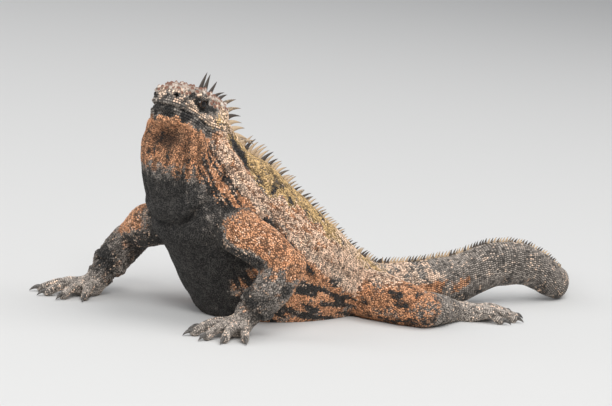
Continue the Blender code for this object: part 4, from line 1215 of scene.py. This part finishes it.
def build_coat(data, chart, pigment, skin, room):
    """All the scales: rings, plates on the lips, and small ones everywhere else."""
    points, normals = points_of(data)
    coat = Coat(chart, points, skin, room)
    coat.lips()
    coat.lids()
    coat.rings("tail", 62, 520, 2.2, 1.5, 0.52, 0.16)
    for side in ("left", "right"):
        for number in range(5):
            coat.rings(f"finger_{side}_{number}", 15, 60, 1.45, 1.5, 0.42, 0.1)
            coat.rings(f"toe_{side}_{number}", 20, 80, 1.5, 1.5, 0.42, 0.1)
    small = coat.scatter(*spots_of(data, points, normals))
    table = np.vstack([np.array(coat.rows), small])
    source = table[:, 14].astype(int)
    pieces = coat_pieces(chart)
    places = unwrap(chart, pieces)
    paint = scale_paint()
    for name, (here, slot) in pieces.items():
        mine = here[source]
        build_scales(name, table[mine], places[source[mine]], pigment[source[mine]], paint)


def crest_rows():
    """The crest's line over head, nape, back and tail: points and upward directions."""
    rows = [(*(HEAD @ Vector(point)), *HEAD_UP) for point in CREST_ON_HEAD]
    rows += [(*point, *NAPE_UP) for point in CREST_ON_NAPE]
    for part, order in ((smooth_rows(TRUNK[:8], 8.0), -1), (smooth_rows(TAIL[1:], 8.0), 1)):
        for k in range(len(part))[::order]:
            up = row_frame(part, k)[1]
            rows.append((*(Vector(part[k][:3]) + up * part[k][4]), *up))
    return smooth_rows(rows, 1.0)


# How wide a spine or a knob is at each share of its height.
SPINE = ((0.0, 1.05), (0.16, 1.0), (0.34, 0.84), (0.54, 0.64), (0.74, 0.42), (0.9, 0.2))
KNOB = ((0.0, 1.0), (0.2, 0.95), (0.42, 0.84), (0.66, 0.66), (0.86, 0.42))


def add_spine(mesh, tints, root, up, back, height, lean, tint, length, width, profile=SPINE):
    """A curved, flattened spine that narrows to its tip, with its root in the skin."""
    side = up.cross(back).normalized()
    rings = []
    for share, size in ((-ROOT_DEPTH / height, profile[0][1]), *profile[1:]):
        middle = root + up * height * share + back * height * lean * max(share, 0) ** 2
        ring = []
        for turn in around(8):
            aside = side * (0.5 * width * size * sin(turn))
            ring.append(mesh.verts.new(middle + back * (0.5 * length * size * cos(turn)) + aside))
            tints.append((tint, max(share, 0), 0, 0))
        rings.append(ring)
    tints.append((tint, 1, 0, 0))
    join_rings(mesh, rings, mesh.verts.new(root + up * height + back * height * lean))


def build_tubercles(data, chart):
    """The blunt knobs on top of the head, and the room that they take."""
    chance = random.Random(5)
    points, normals = points_of(data)
    up = normals @ np.array(HEAD_UP)
    a, c = chart.head[:, 0], chart.head[:, 2]
    on_top = (a > -6) & (a < 56) & (c > 9) & (up > 0.4) & chart.is_main("cranium", "jaw")
    on_top &= (from_eye(chart.head) > 8) & ((near_nostril(folded(chart.head)) > 3.4) | (a < 44))
    on_top = np.flatnonzero(on_top)
    order = on_top[np.argsort(-a[on_top] + 1.5 * np.random.default_rng(4).normal(size=len(on_top)))]
    mesh = bmesh.new()
    tints = []
    room = []
    for k in spread_points(points, order, np.full(len(points), KNOB_PITCH), []):
        root, way = Vector(points[k]), Vector(normals[k])
        height = chance.uniform(1.2, 1.9) + 1.9 * ramp(up[k], 0.42, 0.85) * chance.random()
        across = chance.uniform(2.8, 3.9)
        back = -HEAD.col[0].to_3d()
        back = (back - way * back.dot(way)).normalized()
        add_spine(mesh, tints, root, way, back, height, 0.06, chance.random(), across * 1.05, across, KNOB)
        room.append((root, across * 0.5 + 0.3))
    mark(piece_from("tubercles", mesh, tubercle_paint()), "spine", tints)
    return room


def build_crest(skin):
    """The spines from the back of the head to the end of the tail."""
    chance = random.Random(21)
    line = crest_rows()
    run = run_along(line)
    mesh = bmesh.new()
    tints = []
    at = 1.0
    while at < run[-1] - 8:
        here, ahead = ([np.interp(place, run, column) for column in line.T] for place in (at, at + 3))
        point, rise = Vector(here[:3]), Vector(here[3:]).normalized()
        back = (Vector(ahead[:3]) - point).normalized()
        root, normal = skin.ray_cast(point + rise * 30, -rise)[:2]
        up = normal * 0.4 + rise
        up -= back * up.dot(back)
        up.normalize()
        up += up.cross(back) * chance.uniform(-0.12, 0.12)
        height = float(np.interp(at, *zip(*SPINE_HEIGHTS))) * chance.uniform(0.86, 1.06)
        on_head = at < HEAD_SPINES_END
        tint = chance.random() * 0.5 if on_head else 0.25 + 0.75 * chance.random()
        lean = chance.uniform(0.06, 0.2) if on_head else chance.uniform(0.35, 0.65)
        length = (2.3 if at < 60 else 1.9) + 0.18 * height
        width = 1.05 + 0.08 * height
        add_spine(mesh, tints, root, up.normalized(), back, height, lean, tint, length, width)
        at += float(np.interp(at, *zip(*SPINE_SPACINGS))) * chance.uniform(0.9, 1.1)
    mark(piece_from("crest", mesh, spine_paint()), "spine", tints)


def build_eyes():
    material = eye_paint()
    for side, name in ((1, "eye_left"), (-1, "eye_right")):
        mesh = bmesh.new()
        bmesh.ops.create_uvsphere(mesh, u_segments=40, v_segments=24, radius=EYE_RADIUS - 0.1)
        look = (HEAD_TURN @ vec(0.22, side, 0.02)).normalized()
        turn = look.to_track_quat("Z", "Y").to_matrix().to_4x4()
        centre = HEAD @ vec(EYE[0], EYE[1] * side, EYE[2])
        bmesh.ops.transform(mesh, matrix=turn, verts=mesh.verts)
        bmesh.ops.translate(mesh, vec=centre, verts=mesh.verts)
        facing = [(vert.co - centre).normalized().dot(look) for vert in mesh.verts]
        away = [acos(max(-1, min(1, share))) for share in facing]
        mark(piece_from(name + "_ball", mesh, material, (name,)), "from_pupil", away)


def add_claw(mesh, middle, out):
    """A curved claw that narrows to a blunt tip just above the floor."""
    side = vec(0, 0, 1).cross(out)
    rings = []
    for share in np.linspace(0, 0.94, 9):
        lift = 0.9 * sin(pi * share) - (middle.z - 0.75) * share**2
        centre = middle + out * (CLAW_LENGTH * share - 0.6 * (share == 0)) + vec(0, 0, lift)
        radius = CLAW_ROOT * (1 - share) ** 0.55
        ring = []
        for turn in around(12):
            rise = sin(turn) * (1.0 if sin(turn) > 0 else 0.85)
            aside = side * (0.72 * radius * cos(turn))
            ring.append(mesh.verts.new(centre + aside + vec(0, 0, radius * rise)))
        rings.append(ring)
    join_rings(mesh, rings, mesh.verts.new(middle + out * CLAW_LENGTH + vec(0, 0, 0.5 - middle.z)))
    mesh.faces.new(rings[0][::-1])


def build_claws():
    material = claw_paint()
    for (kind, side), paw in PAWS.items():
        mesh = bmesh.new()
        for base, tip, out in finger_rays(paw):
            add_claw(mesh, vec(tip.x, tip.y, FINGER_THICK * 0.5) - out * 0.3, out)
        nodes = [f"claw_{kind}_{side}_{number}" for number in range(1, 6)]
        piece_from(f"claws_{kind}_{side}", mesh, material, nodes)


def build_stage():
    """A plain pale floor, and soft light from above and in front."""
    mesh = bmesh.new()
    bmesh.ops.create_grid(mesh, x_segments=1, y_segments=1, size=40)
    data = bpy.data.meshes.new("floor")
    mesh.to_mesh(data)
    mesh.free()
    data.materials.append(Paint("floor").finish(Base_Color=FLOOR, Roughness=0.9))
    floor = linked("floor", data)
    for name, (place, size, power) in LAMPS.items():
        lamp = bpy.data.lights.new(name, "AREA")
        lamp.size = size
        lamp.energy = power
        light = linked(name, lamp)
        light.location = place
        light.rotation_euler = (-Vector(place) + Vector(LAMP_TARGET)).to_track_quat("-Z", "Y").to_euler()
    world = bpy.data.worlds.new("studio")
    world.use_nodes = True
    sky = world.node_tree.nodes["Background"]
    sky.inputs["Color"].default_value = (*SKY, 1)
    sky.inputs["Strength"].default_value = SKY_STRENGTH
    bpy.context.scene.world = world
    bpy.context.scene.view_settings.view_transform = "Standard"


def build_camera():
    turn, elevation, roll = (radians(angle) for angle in (VIEW_TURN, VIEW_ELEVATION, VIEW_ROLL))
    right = vec(-cos(turn), sin(turn), 0)
    ahead = vec(-sin(turn) * cos(elevation), -cos(turn) * cos(elevation), -sin(elevation))
    up = right.cross(ahead)
    across = right * cos(roll) + up * sin(roll)
    upright = up * cos(roll) - right * sin(roll)
    place = Vector(VIEW_TARGET) - ahead * VIEW_DISTANCE
    place = place - across * VIEW_OFFSET[0] - upright * VIEW_OFFSET[1]
    camera = linked("camera", bpy.data.cameras.new("camera"))
    camera.data.lens = VIEW_LENS
    camera.data.clip_end = 100
    axes = Matrix((across, upright, -ahead)).transposed()
    camera.matrix_world = Matrix.Translation(place * MM + SHIFT) @ axes.to_4x4()
    bpy.context.scene.camera = camera


build_stage()
build_camera()
skin_data, skin_chart = skin_mesh()
skin_pigment = pigments(skin_chart)
build_skin(skin_data, skin_pigment)
surface = BVHTree.FromPolygons(
    [tuple(vert.co) for vert in skin_data.vertices], [tuple(face.vertices) for face in skin_data.polygons]
)
knob_room = build_tubercles(skin_data, skin_chart)
build_coat(skin_data, skin_chart, skin_pigment, surface, knob_room)
build_crest(surface)
build_eyes()
build_claws()
bpy.data.meshes.remove(skin_data)
